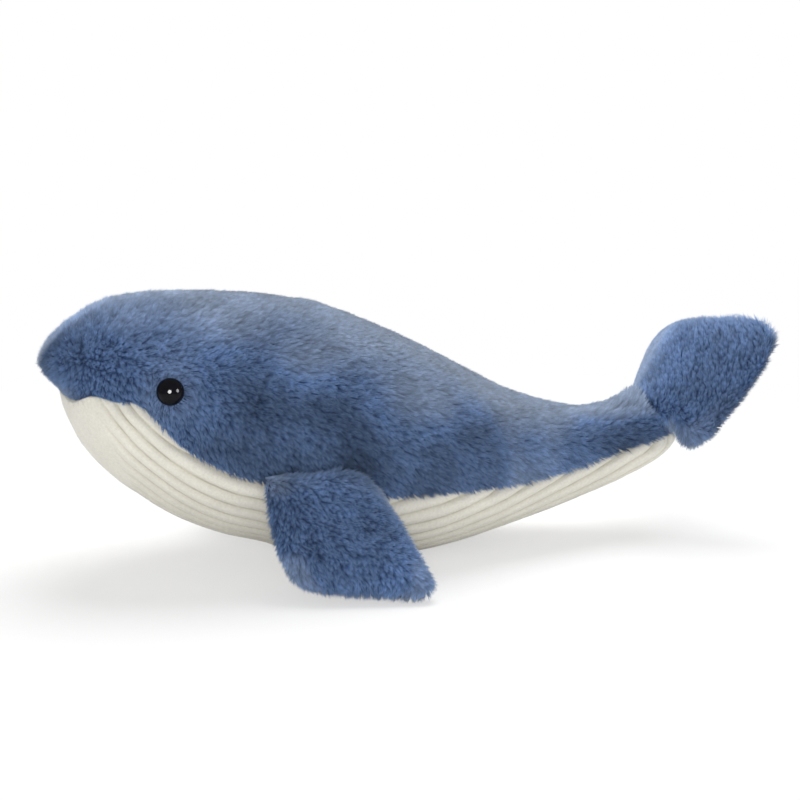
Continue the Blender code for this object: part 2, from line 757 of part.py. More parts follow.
def make_flippers(fur, fibre):
    hinge = flipper_axes()[0]
    fill = FUR_DEPTH + LIMB_FILL_GAP
    for side in (1, -1):
        word = "left" if side > 0 else "right"
        position = hinge * np.array((1, side, 1))
        pivot = hinge_point(f"{word}_flipper_hinge", position)
        for part, top in (("top", True), ("under", False)):
            name = f"{word}_flipper_{part}_panel"
            outer = flipper_grid(top, 0, SEAM_GAP / 4, side)
            inner = flipper_grid(top, FUR_DEPTH, SEAM_GAP / 4, side)
            place(name, between(name, outer, inner, position), fur, pivot)
        name = f"{word}_flipper_stuffing"
        grids = [flipper_grid(top, fill, 0, side) for top in (True, False)]
        place(name, between(name, *grids, position), fibre, pivot)


def make_fluke(fur, fibre):
    hinge = fluke_axes()[0]
    fill = FUR_DEPTH + LIMB_FILL_GAP
    pivot = hinge_point("fluke_hinge", hinge)
    for part, top in (("top", True), ("under", False)):
        name = f"fluke_{part}_panel"
        grids = [fluke_grid(top, inset, SEAM_GAP / 4) for inset in (0, FUR_DEPTH)]
        place(name, between(name, *grids, hinge), fur, pivot)
    grids = [fluke_grid(top, fill, 0, FLUKE_BARE_STEPS) for top in (True, False)]
    place("fluke_stuffing", between("fluke_stuffing", *grids, hinge), fibre, pivot)


def make_thread(core, cotton):
    points = thread_points()
    place("closing_seam_thread", tube_mesh("closing_seam_thread", points, THREAD_RADIUS), cotton)
    groove = tube_mesh("groove", points, THREAD_RADIUS + LIMB_FILL_GAP)
    cut(core, cutter("thread_groove_cut", groove))


def main():
    for thing in list(bpy.data.objects):
        bpy.data.objects.remove(thing, do_unlink=True)
    fur = material("blue_fur", (0.09, 0.16, 0.33), 0.9)
    rib_cloth = material("cream_rib_cloth", (0.70, 0.68, 0.60), 0.85)
    fibre = material("white_fibre", (0.85, 0.85, 0.83), 0.95)
    shiny = material("black_eye_plastic", (0.01, 0.01, 0.012), 0.08)
    nylon = material("white_nylon", (0.80, 0.80, 0.78), 0.4)
    cotton = material("undyed_cotton", (0.75, 0.73, 0.66), 0.9)
    pellets = material("pellets", (0.80, 0.82, 0.84), 0.35)
    left, right, core = make_body(fur, rib_cloth, fibre)
    make_eyes((left, right), core, shiny, nylon)
    make_pouch(core, cotton, pellets)
    make_thread(core, cotton)
    make_flippers(fur, fibre)
    make_fluke(fur, fibre)


main()
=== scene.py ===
import json
import math

import bmesh
import bpy
import numpy as np
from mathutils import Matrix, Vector, noise
from mathutils.kdtree import KDTree

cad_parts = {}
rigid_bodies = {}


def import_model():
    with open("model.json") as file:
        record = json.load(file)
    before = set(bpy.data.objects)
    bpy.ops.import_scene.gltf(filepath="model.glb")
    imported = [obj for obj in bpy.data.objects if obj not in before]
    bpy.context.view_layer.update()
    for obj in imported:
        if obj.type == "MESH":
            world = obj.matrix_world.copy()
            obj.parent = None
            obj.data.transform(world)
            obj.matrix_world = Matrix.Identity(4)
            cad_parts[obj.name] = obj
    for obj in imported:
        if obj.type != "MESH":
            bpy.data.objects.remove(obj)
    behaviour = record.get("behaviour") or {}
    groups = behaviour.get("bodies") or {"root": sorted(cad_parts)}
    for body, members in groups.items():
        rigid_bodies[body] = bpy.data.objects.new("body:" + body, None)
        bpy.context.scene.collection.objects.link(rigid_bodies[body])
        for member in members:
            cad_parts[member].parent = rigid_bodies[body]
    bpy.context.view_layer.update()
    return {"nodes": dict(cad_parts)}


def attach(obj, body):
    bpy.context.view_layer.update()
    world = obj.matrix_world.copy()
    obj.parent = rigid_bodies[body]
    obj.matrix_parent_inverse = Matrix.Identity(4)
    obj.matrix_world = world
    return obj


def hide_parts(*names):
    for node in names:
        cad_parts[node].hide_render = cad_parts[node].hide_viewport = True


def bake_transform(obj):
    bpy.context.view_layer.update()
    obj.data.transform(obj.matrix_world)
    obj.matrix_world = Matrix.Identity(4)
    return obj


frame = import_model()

nodes = frame["nodes"]
for spare in list(bpy.data.objects):  # the startup scene's own cube, lamp and camera
    if spare.name in ("Cube", "Light", "Camera"):
        bpy.data.objects.remove(spare, do_unlink=True)


# small helpers for numbers
def unit(v):
    return v / np.maximum(np.linalg.norm(v, axis=-1, keepdims=True), 1e-12)


def powered(value, power):
    return np.sign(value) * np.abs(value) ** power


def rising(value, start, span):  # 0 at start, 1 a span later
    return np.clip((value - start) / span, 0, 1)


def falling(value, end, span):  # 1 a span before the end, 0 at the end
    return np.clip((end - value) / span, 0, 1)


def hump(value, width):
    return np.exp(-((value / width) ** 2))


def fromTable(table, share):
    return np.interp(share, [row[0] for row in table], [row[1] for row in table])


def edgeShare(place, power):
    return np.sqrt(np.maximum(1 - np.abs(place) ** power, 0))


def spread(count):  # -1 to 1, closer together at the ends
    return -np.cos(math.pi * np.arange(count + 1) / count)


def noiseOver(grid, scale):
    return np.array([[noise.noise(Vector(p) * scale) for p in row] for row in grid])


def mirrored(grid):
    return grid * np.array((1, -1, 1))


# the body's outside, as the solids have it, with the lip and the shoulder a little fuller
bodyShape = {
    "length": 0.426,
    "height": 0.184,
    "width": 0.167,
    "snoutAhead": 0.209,
    "squareness": 2.15,
    "chinStation": 3,
}
# along, centre, half height, half width, tilt in degrees, belly seam height
stations = np.array([
    (0.000, 0.760, 0.000, 0.000, 0, -1.00),
    (0.007, 0.761, 0.046, 0.112, 0, -1.00),
    (0.017, 0.759, 0.078, 0.176, 0, -1.00),
    (0.030, 0.7565, 0.111, 0.224, 0, -1.00),
    (0.052, 0.730, 0.177, 0.284, 0, -0.32),
    (0.068, 0.700, 0.228, 0.315, 0, -0.05),
    (0.099, 0.673, 0.293, 0.361, 0, 0.00),
    (0.129, 0.647, 0.339, 0.396, 0, 0.07),
    (0.190, 0.599, 0.397, 0.449, 0, -0.19),
    (0.265, 0.556, 0.437, 0.485, 0, -0.32),
    (0.345, 0.519, 0.456, 0.500, 0, -0.35),
    (0.393, 0.4765, 0.4795, 0.499, 0, -0.33),
    (0.441, 0.455, 0.478, 0.493, 0, -0.31),
    (0.538, 0.409, 0.430, 0.461, 0, -0.27),
    (0.636, 0.363, 0.359, 0.401, 0, -0.22),
    (0.737, 0.323, 0.268, 0.311, 0, -0.17),
    (0.805, 0.313, 0.218, 0.257, 0, -0.07),
    (0.876, 0.323, 0.174, 0.210, 5, 0.03),
    (0.927, 0.350, 0.156, 0.186, 18, 0.02),
    (0.969, 0.391, 0.139, 0.174, 32, -0.19),
    (1.000, 0.438, 0.120, 0.168, 42, -0.70),
])
lastStation = len(stations) - 1
nudge = 0.02  # step for slopes, in stations or radians


def eased(at, column):
    table = stations[:, column]
    first = np.clip(np.floor(at).astype(int), 0, lastStation - 1)
    part = at - first
    before, here, there, after = (table[np.clip(first + k, 0, lastStation)] for k in (-1, 0, 1, 2))
    return (here * (2 * part**3 - 3 * part**2 + 1) + (there - before) / 2 * (part**3 - 2 * part**2 + part)
            + there * (3 * part**2 - 2 * part**3) + (after - here) / 2 * (part**3 - part**2))


def bodyPoint(at, turn):  # turn is 0 on the back and pi on the belly, over the left side
    along, centre, halfHeight, halfWidth, tilt = (eased(at, k) for k in range(5))
    tilt = np.radians(tilt)
    power = 2 / bodyShape["squareness"]
    rise = np.maximum(halfHeight, 0) * bodyShape["height"] * powered(np.cos(turn), power)
    x = along * bodyShape["length"] - bodyShape["snoutAhead"] - np.sin(tilt) * rise
    y = -np.maximum(halfWidth, 0) * bodyShape["width"] * powered(np.sin(turn), power)
    z = centre * bodyShape["height"] + np.cos(tilt) * rise
    return np.stack(np.broadcast_arrays(x, y, z), -1)


def bodyTangents(at, turn):
    along = bodyPoint(np.minimum(at + nudge, lastStation), turn) - bodyPoint(np.maximum(at - nudge, 0), turn)
    around = bodyPoint(at, turn + nudge) - bodyPoint(at, turn - nudge)
    return unit(along), unit(around)


def bodyNormal(at, turn):
    along, around = bodyTangents(at, turn)
    normal = unit(np.cross(around, along))
    outward = bodyPoint(at, turn) - bodyPoint(at, turn * 0 + math.pi / 2) * (1, 0, 1)
    normal *= np.where((normal * outward).sum(-1, keepdims=True) < 0, -1, 1)
    return np.where((at <= 0)[..., None], np.array((-1.0, 0, 0)), normal)


def turnAt(heightShare):
    return np.arccos(powered(np.clip(heightShare, -1, 1), bodyShape["squareness"] / 2))


def seamTurn(at):
    return np.where(at <= bodyShape["chinStation"], math.pi, turnAt(eased(at, 5)))


def stationAt(alongShare):
    places = np.linspace(0, lastStation, 4000)
    return np.interp(alongShare, eased(places, 0), places)


def bodyRows(pitch):  # station numbers about this far apart on the body
    rows = []
    for number in range(lastStation):
        a, b = stations[number], stations[number + 1]
        span = max((b[0] - a[0]) * bodyShape["length"], abs(b[2] - a[2]) * bodyShape["height"])
        steps = max(2, round(span / pitch))
        rows += [number + k / steps for k in range(steps)]
    return np.array(rows + [lastStation])


def girth(at, turns):  # length round the body from the first turn, one column for each place
    line = bodyPoint(at + turns * 0, turns)
    steps = np.linalg.norm(np.diff(line, axis=0), axis=-1)
    return np.concatenate([np.zeros((1, len(at))), np.cumsum(steps, axis=0)])


# meshes from grids of points
def newObject(name, data):
    thing = bpy.data.objects.new(name, data)
    bpy.context.scene.collection.objects.link(thing)
    return thing


def meshObject(name, vertices, faces):
    mesh = bpy.data.meshes.new(name)
    mesh.from_pydata([tuple(p) for p in np.asarray(vertices, float)], [], [tuple(map(int, f)) for f in faces])
    mesh.validate()
    return newObject(name, mesh)


def gridFaces(rows, columns, start=0, flip=False):
    i, j = np.meshgrid(np.arange(rows - 1), np.arange(columns - 1), indexing="ij")
    a = (start + i * columns + j).ravel()
    quads = np.stack([a, a + 1, a + columns + 1, a + columns], 1)
    return quads[:, ::-1] if flip else quads


def outwardFaces(grid, normals, start=0):
    quads = gridFaces(*grid.shape[:2], start)
    flat = grid.reshape(-1, 3)
    a, b, c, d = (flat[quads[:, k] - start] for k in range(4))
    facing = (np.cross(c - a, d - b) * normals.reshape(-1, 3)[quads[:, 0] - start]).sum()
    return quads if facing > 0 else quads[:, ::-1]


def tidied(thing, merge=1e-6):
    bm = bmesh.new()
    bm.from_mesh(thing.data)
    bmesh.ops.remove_doubles(bm, verts=bm.verts, dist=merge)
    bmesh.ops.dissolve_degenerate(bm, dist=merge, edges=bm.edges)
    bmesh.ops.recalc_face_normals(bm, faces=bm.faces)
    bm.to_mesh(thing.data)
    bm.free()
    thing.data.shade_smooth()
    return thing


def closedBetween(name, outer, inner, material):  # closed sheet between two grids of the same size
    rows, columns = outer.shape[:2]
    count = rows * columns
    faces = [gridFaces(rows, columns), gridFaces(rows, columns, count, True)]
    rim = [i * columns for i in range(rows)] + [(rows - 1) * columns + j for j in range(1, columns)]
    rim += [i * columns + columns - 1 for i in range(rows - 2, -1, -1)] + list(range(columns - 2, 0, -1))
    walls = [(a, b, b + count, a + count) for a, b in zip(rim, rim[1:] + rim[:1])]
    vertices = np.concatenate([outer.reshape(-1, 3), inner.reshape(-1, 3)])
    thing = tidied(meshObject(name, vertices, [*faces[0], *faces[1], *walls]))
    thing.data.materials.append(material)
    return thing


def applied(thing, name):  # the evaluated result as a plain mesh, in a new object
    bpy.context.view_layer.update()
    graph = bpy.context.evaluated_depsgraph_get()
    mesh = bpy.data.meshes.new_from_object(thing.evaluated_get(graph), preserve_all_data_layers=True,
                                           depsgraph=graph)
    mesh.name = name
    bpy.data.objects.remove(thing, do_unlink=True)
    return newObject(name, mesh)


# node helpers
def setSockets(tree, node, values):
    for key, value in values.items():
        if isinstance(value, bpy.types.NodeSocket):
            tree.links.new(value, node.inputs[key])
        else:
            node.inputs[key].default_value = value


def addNode(tree, kind, inputs=None, **settings):
    node = tree.nodes.new(kind)
    for key, value in settings.items():
        setattr(node, key, value)
    setSockets(tree, node, inputs or {})
    return node


def calculated(tree, operation, a, b):
    return addNode(tree, "ShaderNodeMath", {0: a, 1: b}, operation=operation).outputs[0]


def mapped(tree, value, start, end, low, high):
    return addNode(tree, "ShaderNodeMapRange", {0: value, 1: start, 2: end, 3: low, 4: high}).outputs[0]


def ramp(tree, factor, stops):
    node = addNode(tree, "ShaderNodeValToRGB", {0: factor})
    points = node.color_ramp.elements
    while len(points) < len(stops):
        points.new(0.5)
    for point, (place, colour) in zip(points, stops):
        point.position = place
        point.color = (*colour, 1)
    return node.outputs["Color"]


def mixed(tree, kind, factor, a, b):
    return addNode(tree, "ShaderNodeMix", {0: factor, 6: a, 7: b}, data_type="RGBA", blend_type=kind).outputs[2]


def attribute(tree, name):
    return addNode(tree, "ShaderNodeAttribute", attribute_name=name).outputs["Fac"]


def clouds(tree, place, scale, detail=2.0, distortion=0.0):
    values = {"Vector": place, "Scale": scale, "Detail": detail, "Distortion": distortion}
    return addNode(tree, "ShaderNodeTexNoise", values).outputs["Fac"]


def bumps(tree, height, strength, distance):
    values = {"Strength": strength, "Distance": distance, "Height": height}
    return addNode(tree, "ShaderNodeBump", values).outputs[0]


def newMaterial(name, roughness):  # with its tree, its shader and the place on the object
    made = bpy.data.materials.new(name)
    made.use_nodes = True
    tree = made.node_tree
    shader = tree.nodes["Principled BSDF"]
    shader.inputs["Roughness"].default_value = roughness
    return made, tree, shader, addNode(tree, "ShaderNodeTexCoord").outputs["Object"]


# materials
furLook = {
    # a strand's colours from root to tip; the darker root is painted shade deep in the pile
    "root": (0.026, 0.058, 0.150),
    "middle": (0.106, 0.196, 0.415),
    "tip": (0.264, 0.412, 0.700),
    "paintedSheenPale": (0.470, 0.570, 0.735),  # painted sheen: the pale colour the pile is painted where it lies flat
    "paintedSheenShare": 0.66,
    "paintedShadeDark": 0.42,  # painted shade: how dark the pile is painted where it is ruffled up
    "patchSize": 28.0,  # broad shade changes, per metre
    "patchDepth": 0.20,
    "strandDepth": 0.38,
    "roughness": 0.88,
    "specular": 0.3,
    "sheen": 0.50,
    "sheenRoughness": 0.45,
    "sheenTint": (0.80, 0.87, 0.96),
}


def makeFurMaterial():
    look = furLook
    made, tree, shader, place = newMaterial("blueFur", look["roughness"])
    nap = attribute(tree, "nap")
    # darker towards the root, a painted shade deep in the pile
    stops = ((0.0, look["root"]), (0.45, look["middle"]), (1.0, look["tip"]))
    colour = ramp(tree, attribute(tree, "along"), stops)
    patch = clouds(tree, place, look["patchSize"])
    shade = mapped(tree, patch, 0.3, 0.7, 1 - look["patchDepth"], 1 + look["patchDepth"])
    depth = look["strandDepth"]
    # the strand tone holds random tone and the painted shade between tufts
    strandShade = mapped(tree, attribute(tree, "tone"), 0.0, 1.0, 1 - depth, 1 + depth)
    # ruffled pile is painted darker, a painted shade
    paintedRuffleShade = mapped(tree, nap, -0.5, 0.1, look["paintedShadeDark"], 1.0)
    # flat-lying pile is painted paler, a painted sheen
    pale = mapped(tree, nap, 0.22, 1.0, 0.0, look["paintedSheenShare"])
    colour = mixed(tree, "MIX", pale, colour, (*look["paintedSheenPale"], 1))
    shade = calculated(tree, "MULTIPLY", calculated(tree, "MULTIPLY", shade, strandShade), paintedRuffleShade)
    setSockets(tree, shader, {
        "Base Color": mixed(tree, "MULTIPLY", 1.0, colour, shade),
        "Specular IOR Level": look["specular"],
        "Sheen Weight": look["sheen"],
        "Sheen Roughness": look["sheenRoughness"],
        "Sheen Tint": (*look["sheenTint"], 1),
    })
    return made


# painted shade: the backing is darker than the pile, and darker in the knit's gaps
backingLook = {
    "yarn": (0.050, 0.088, 0.190),
    "knitGapShade": (0.030, 0.055, 0.125),
    "knitScale": 900.0,
    "knitDepth": 0.0004,
}


def makeBackingMaterial():  # the knitted cloth that the pile stands on, painted darker than the pile as painted shade under it, and darker still in the knit's gaps as painted shade between the yarns
    look = backingLook
    made, tree, shader, place = newMaterial("blueBacking", 0.95)
    knit = addNode(tree, "ShaderNodeTexVoronoi", {"Vector": place, "Scale": look["knitScale"]})
    knit = knit.outputs["Distance"]
    setSockets(tree, shader, {
        "Base Color": ramp(tree, knit, ((0.0, look["yarn"]), (0.7, look["knitGapShade"]))),
        "Normal": bumps(tree, knit, 0.4, look["knitDepth"]),
    })
    return made


# the ramp from groove through side to crest paints the cream darker down the ribs' sides and in the grooves, a
# painted shade
bellyLook = {
    "crest": (0.790, 0.765, 0.680),
    "side": (0.690, 0.660, 0.565),
    "groove": (0.400, 0.370, 0.280),
    "napScale": 620.0,
    "napDepth": 0.0005,
    "softScale": 45.0,
    "roughness": 0.92,
    "sheen": 0.25,
    "sheenRoughness": 0.5,
}


def makeBellyMaterial():
    look = bellyLook
    made, tree, shader, place = newMaterial("creamVelour", look["roughness"])
    stops = ((0.0, look["groove"]), (0.45, look["side"]), (0.9, look["crest"]))
    colour = ramp(tree, attribute(tree, "crest"), stops)
    nap = clouds(tree, place, look["napScale"], 4.0)
    soft = clouds(tree, place, look["softScale"])
    shade = calculated(tree, "MULTIPLY", mapped(tree, nap, 0.3, 0.7, 0.93, 1.05),
                       mapped(tree, soft, 0.3, 0.7, 0.96, 1.03))
    setSockets(tree, shader, {
        "Base Color": mixed(tree, "MULTIPLY", 1.0, colour, shade),
        "Normal": bumps(tree, nap, 0.6, look["napDepth"]),
        "Sheen Weight": look["sheen"],
        "Sheen Roughness": look["sheenRoughness"],
    })
    return made


def makeClouded(name, light, dark, scale, detail, rough, specular=0.5):  # rough goes from smooth to dull
    made, tree, shader, place = newMaterial(name, rough[0])
    cloud = clouds(tree, place, scale, detail)
    setSockets(tree, shader, {
        "Base Color": ramp(tree, cloud, (dark, light)),
        "Roughness": mapped(tree, cloud, 0.0, 1.0, *rough),
        "Specular IOR Level": specular,
    })
    return made


def makeFibreMaterial(name, light, dark, scale):
    made, tree, shader, place = newMaterial(name, 0.95)
    wisps = clouds(tree, place, scale, 5.0, 1.4)
    setSockets(tree, shader, {
        "Base Color": ramp(tree, wisps, ((0.3, dark), (0.7, light))),
        "Normal": bumps(tree, wisps, 0.7, 0.001),
    })
    return made


furCloth = makeFurMaterial()
backing = makeBackingMaterial()
velour = makeBellyMaterial()
eyeBlack = makeClouded("blackEye", (0.8, (0.0014, 0.0014, 0.0020)), (0.3, (0.0006, 0.0006, 0.0010)),
                       300.0, 2.0, (0.03, 0.08), 0.12)
fibre = makeFibreMaterial("whiteFibre", (0.86, 0.86, 0.84), (0.70, 0.70, 0.68), 120.0)
cotton = makeFibreMaterial("undyedCotton", (0.78, 0.75, 0.67), (0.66, 0.63, 0.55), 700.0)
nylon = makeClouded("whiteNylon", (0.7, (0.82, 0.82, 0.80)), (0.3, (0.74, 0.74, 0.72)),
                    160.0, 3.0, (0.36, 0.50))
pelletPlastic = makeClouded("pelletPlastic", (0.7, (0.82, 0.84, 0.86)), (0.3, (0.72, 0.75, 0.78)),
                            160.0, 3.0, (0.30, 0.44))
print("materials made")


# stuffing: a cloth skin swells a little under pressure, held along its seams
stuffing = {
    "pressure": 4.0,
    "frames": 20,
    "startDeeper": 0.0014,
    "mostSwell": 0.0024,
    "rowPitch": 0.0065,
    "columns": 72,
    "seamWidth": 0.0045,
}


def swell(name, vertices, faces, held):  # how far each vertex moves, up to the most
    thing = meshObject(name, vertices, faces)
    group = thing.vertex_groups.new(name="seams")
    group.add([int(k) for k in np.flatnonzero(held)], 1.0, "REPLACE")
    cloth = thing.modifiers.new("stuffed", "CLOTH")
    cloth.settings.use_pressure = True
    cloth.settings.uniform_pressure_force = stuffing["pressure"]
    cloth.settings.effector_weights.gravity = 0
    cloth.settings.vertex_group_mass = "seams"
    cloth.settings.quality = 4
    cloth.point_cache.frame_start = 1
    cloth.point_cache.frame_end = stuffing["frames"]
    scene = bpy.context.scene
    for number in range(1, stuffing["frames"] + 1):
        scene.frame_set(number)
    evaluated = thing.evaluated_get(bpy.context.evaluated_depsgraph_get()).data
    after = np.empty(len(vertices) * 3)
    evaluated.vertices.foreach_get("co", after)
    moved = after.reshape(-1, 3) - vertices
    scene.frame_set(1)
    bpy.data.objects.remove(thing, do_unlink=True)
    size = np.linalg.norm(moved, axis=1, keepdims=True)
    print(name, "swelled by up to", round(float(size.max()) * 1000, 1), "mm")
    return moved * np.minimum(1, stuffing["mostSwell"] / np.maximum(size, 1e-9))


# the body's skin
pile = {
    "bodyInset": 0.0046,  # skin under the solid's outside, which is where the pile ends
    "limbInset": 0.0042,
    "backing": 0.0012,
    "floor": 0.0010,
    "backGap": 0.0001,  # between each side panel and the middle of the back
}
deeper = stuffing["startDeeper"]


def bodySwelling():  # how far the stuffed skin moves, on a coarse grid round the body
    rows = bodyRows(stuffing["rowPitch"])
    columns = stuffing["columns"]
    turns = np.linspace(-math.pi, math.pi, columns + 1)[:-1]
    at, turn = np.meshgrid(rows[1:], turns, indexing="ij")
    skin = bodyPoint(at, turn) - bodyNormal(at, turn) * (pile["bodyInset"] + stuffing["startDeeper"])
    radius = np.linalg.norm(skin - skin.mean(axis=1, keepdims=True), axis=-1)
    held = np.abs(np.abs(turn) - seamTurn(at)) * radius < stuffing["seamWidth"]
    held |= (at >= lastStation - 0.5) | (at < 1.2)
    tip = bodyPoint(np.array([0.0]), np.array([0.0])) + (pile["bodyInset"], 0, 0)
    hub = skin[-1].mean(axis=0)[None]
    index = np.arange(skin.shape[0] * columns).reshape(-1, columns)
    around = np.roll(index, -1, axis=1)
    quads = np.stack([index[:-1], around[:-1], around[1:], index[1:]], -1).reshape(-1, 4)
    ends = [(a, b, index.size) for a, b in zip(around[0], index[0])]
    ends += [(a, b, index.size + 1) for a, b in zip(index[-1], around[-1])]
    moved = swell("bodySkin", np.concatenate([skin.reshape(-1, 3), tip, hub]), [*quads, *ends],
                  np.append(held.ravel(), (True, True)))
    grid = moved[:index.size].reshape(*index.shape, 3)
    return rows, np.concatenate([np.zeros((1, columns, 3)), grid])


swellRows, swellGrid = bodySwelling()


def swellingAt(at, turn):
    i = np.interp(at, swellRows, np.arange(len(swellRows)))
    j = (turn + math.pi) / (2 * math.pi) * swellGrid.shape[1]
    i0 = np.clip(np.floor(i).astype(int), 0, len(swellRows) - 2)
    j0 = np.floor(j).astype(int)
    p, q = (i - i0)[..., None], (j - j0)[..., None]
    a, b = j0 % swellGrid.shape[1], (j0 + 1) % swellGrid.shape[1]
    near = swellGrid[i0, a] * (1 - q) + swellGrid[i0, b] * q
    far = swellGrid[i0 + 1, a] * (1 - q) + swellGrid[i0 + 1, b] * q
    return near * (1 - p) + far * p


def bodySkin(at, turn, depth, floor=0.0):
    skin = bodyPoint(at, turn) - bodyNormal(at, turn) * (np.asarray(depth) + deeper)[..., None]
    skin = skin + swellingAt(at, turn)
    skin[..., 2] = np.maximum(skin[..., 2], floor)
    return skin


# side panels: rows along the body, columns from the back down to the belly seam
sideRows = bodyRows(0.0028)
sideColumns = 56
words = {1: "left", -1: "right"}  # by the side's number


def sideGrid(side):
    at, share = np.meshgrid(sideRows, np.linspace(0, 1, sideColumns + 1), indexing="ij")
    return at, share * seamTurn(at) * side, share


def makeSideCloth(side):
    at, turn, share = sideGrid(side)
    depth = np.full(at.shape, pile["bodyInset"])
    outer = bodySkin(at, turn, depth, pile["floor"])
    inner = bodySkin(at, turn, depth + pile["backing"], pile["floor"] + pile["backing"])
    for grid in (outer, inner):
        grid[..., 1] = side * np.minimum(side * grid[..., 1], -pile["backGap"])
    return closedBetween(f"{words[side]}SideCloth", outer, inner, backing), outer


bellyShape = {
    "ribPitch": 0.0110,
    "ribHeight": 0.0027,
    "ribRound": (2.1, 0.6),  # powers that round its crest and narrow its groove
    "fadeFrom": 0.050,  # shares of the body's length, at the seam
    "fadeLater": 0.085,  # how much later the ribs begin on the midline
    "fadeSpan": 0.045,
    "seamSink": 0.0042,
    "seamReach": 0.0050,
    "seamSinkFrom": (0.045, 0.08),
    "cloth": 0.0012,
    "columnPitch": 0.00095,
    "rowPitch": 0.0032,
    "chin": (0.0022, 0.15, 0.06, 0.03),  # the chin's own stuffing: depth, end, softness, half width
    "lipSink": (0.0048, 0.024),  # how deep the front edge lies under the lip, and over what share of the length
    "tailEnd": (0.0028, 0.93, 0.05, 0.012),  # and the tail end's: depth, start, softness, room at the seam
    "wander": (0.0022, 27.0),  # how far the ribs stray from their lines, and the scale of it
    "nap": (0.00018, 420.0),
}


def bellyGrid():  # columns keep their distance from the midline, and end at the seam
    rows = bodyRows(bellyShape["rowPitch"])
    rows = rows[rows >= bodyShape["chinStation"]]
    fan = math.pi - (math.pi - seamTurn(rows)) * np.linspace(0, 1, 300)[:, None]
    length = girth(rows, fan)
    count = math.ceil(length[-1].max() / bellyShape["columnPitch"])
    wanted = np.linspace(0, length[-1].max(), count + 1)
    half = np.array([np.interp(wanted, length[:, k], fan[:, k]) for k in range(len(rows))])
    distance = np.minimum(wanted, length[-1][:, None])
    turn = np.concatenate([-half[:, :0:-1], half], axis=1)  # the right half first
    distance = np.concatenate([distance[:, :0:-1], distance], axis=1)
    return rows[:, None] + turn * 0, turn, distance, length[-1][:, None] - distance


def makeBelly():
    s = bellyShape
    at, turn, distance, toSeam = bellyGrid()
    along = eased(at, 0)
    flat = bodyPoint(at, turn)
    stray, strayScale = s["wander"]
    place = (distance + noiseOver(flat, strayScale) * stray) / s["ribPitch"]
    across = 2 * (place - np.floor(place)) - 1
    crown, flank = s["ribRound"]
    rib = (1 - np.abs(across) ** crown) ** flank
    inward = toSeam / np.maximum((distance + toSeam).max(axis=1, keepdims=True), 1e-6)
    full = rising(along, s["fadeFrom"] + s["fadeLater"] * inward, s["fadeSpan"])
    full = full * full * (3 - 2 * full)
    depth = s["ribHeight"] * (1 - rib) * full
    depth += s["seamSink"] * hump(toSeam, s["seamReach"]) * rising(along, *s["seamSinkFrom"])
    chin, end, span, halfWidth = s["chin"]
    depth -= chin * falling(along, end, span) * hump(distance, halfWidth)
    sink, reach = s["lipSink"]
    depth += sink * np.clip(1 - (along - stations[bodyShape["chinStation"], 0]) / reach, 0, 1) ** 2
    tail, start, span, room = s["tailEnd"]
    depth -= tail * rising(along, start, span) * rising(toSeam, 0, room)
    napDepth, napScale = s["nap"]
    depth = depth - napDepth * noiseOver(flat, napScale)
    outer = bodySkin(at, turn, depth, 0.0)
    inner = bodySkin(at, turn, depth * 0 + s["ribHeight"] + s["seamSink"] + s["cloth"], s["cloth"])
    cloth = closedBetween("bellyCloth", outer, inner, velour)
    # crest paints the grooves and the ribs' sides darker, a painted shade
    crest = cloth.data.attributes.new("crest", "FLOAT", "POINT")
    nearest = KDTree(outer.size // 3)
    for number, p in enumerate(outer.reshape(-1, 3)):
        nearest.insert(p, number)
    nearest.balance()
    height = (rib * full + 1 - full).ravel()
    crest.data.foreach_set("value", [height[nearest.find(v.co)[1]] for v in cloth.data.vertices])
    return cloth


leftCloth, leftSkin = makeSideCloth(1)
rightCloth, rightSkin = makeSideCloth(-1)
bellyCloth = makeBelly()
print("body skin made")


# flippers, by the same rules as the solids
flipperShape = {
    "front": 0.309,
    "rear": 0.512,
    "span": 0.068,
    "chord": 0.088,
    "topDepth": 0.0150,
    "underDepth": 0.0110,
    "sweep": 0.021,
    "slant": 0.003,
    "twist": 0.0150,
    "droop": 55,
    "rootGap": 0.0008,
    "rimPower": 2.4,
    "widths": ((0.0, 0.94), (0.3, 1.0), (0.6, 1.03), (0.85, 1.0), (0.95, 0.92), (1.0, 0.78)),
    "depths": ((0.0, 0.0), (0.05, 0.45), (0.15, 0.75), (0.35, 1.0), (0.7, 0.92), (1.0, 0.62)),
    "rearFuller": ((0.0, 1.0), (0.5, 1.0), (0.8, 1.08), (1.0, 1.12)),  # the outer rear corner's stuffing
    "rows": 26,
    "columns": 34,
}
limbEndPower = 8


def flipperAxes():  # hinge, then the ways along the chord, outwards and upwards
    front, rear = (stationAt(flipperShape[end]) for end in ("front", "rear"))
    ends = np.array([front, rear])
    corners = bodyPoint(ends, seamTurn(ends))
    chord = unit(corners[1] - corners[0])
    middle = corners.mean(axis=0)
    at = np.array((front + rear) / 2)
    outward = bodyNormal(at, seamTurn(at))
    outward = unit(outward - chord * (outward @ chord))
    nearby = np.linspace(front, rear, 13)
    bulge = ((bodyPoint(nearby, seamTurn(nearby)) - middle) @ outward).max()
    hinge = middle + outward * (bulge + flipperShape["rootGap"])
    droop = math.radians(flipperShape["droop"])
    span = np.array((0, -math.cos(droop), -math.sin(droop)))
    span = unit(span - chord * (span @ chord))
    depth = np.cross(chord, span)
    return hinge, chord, span, depth if depth[1] < 0 else -depth


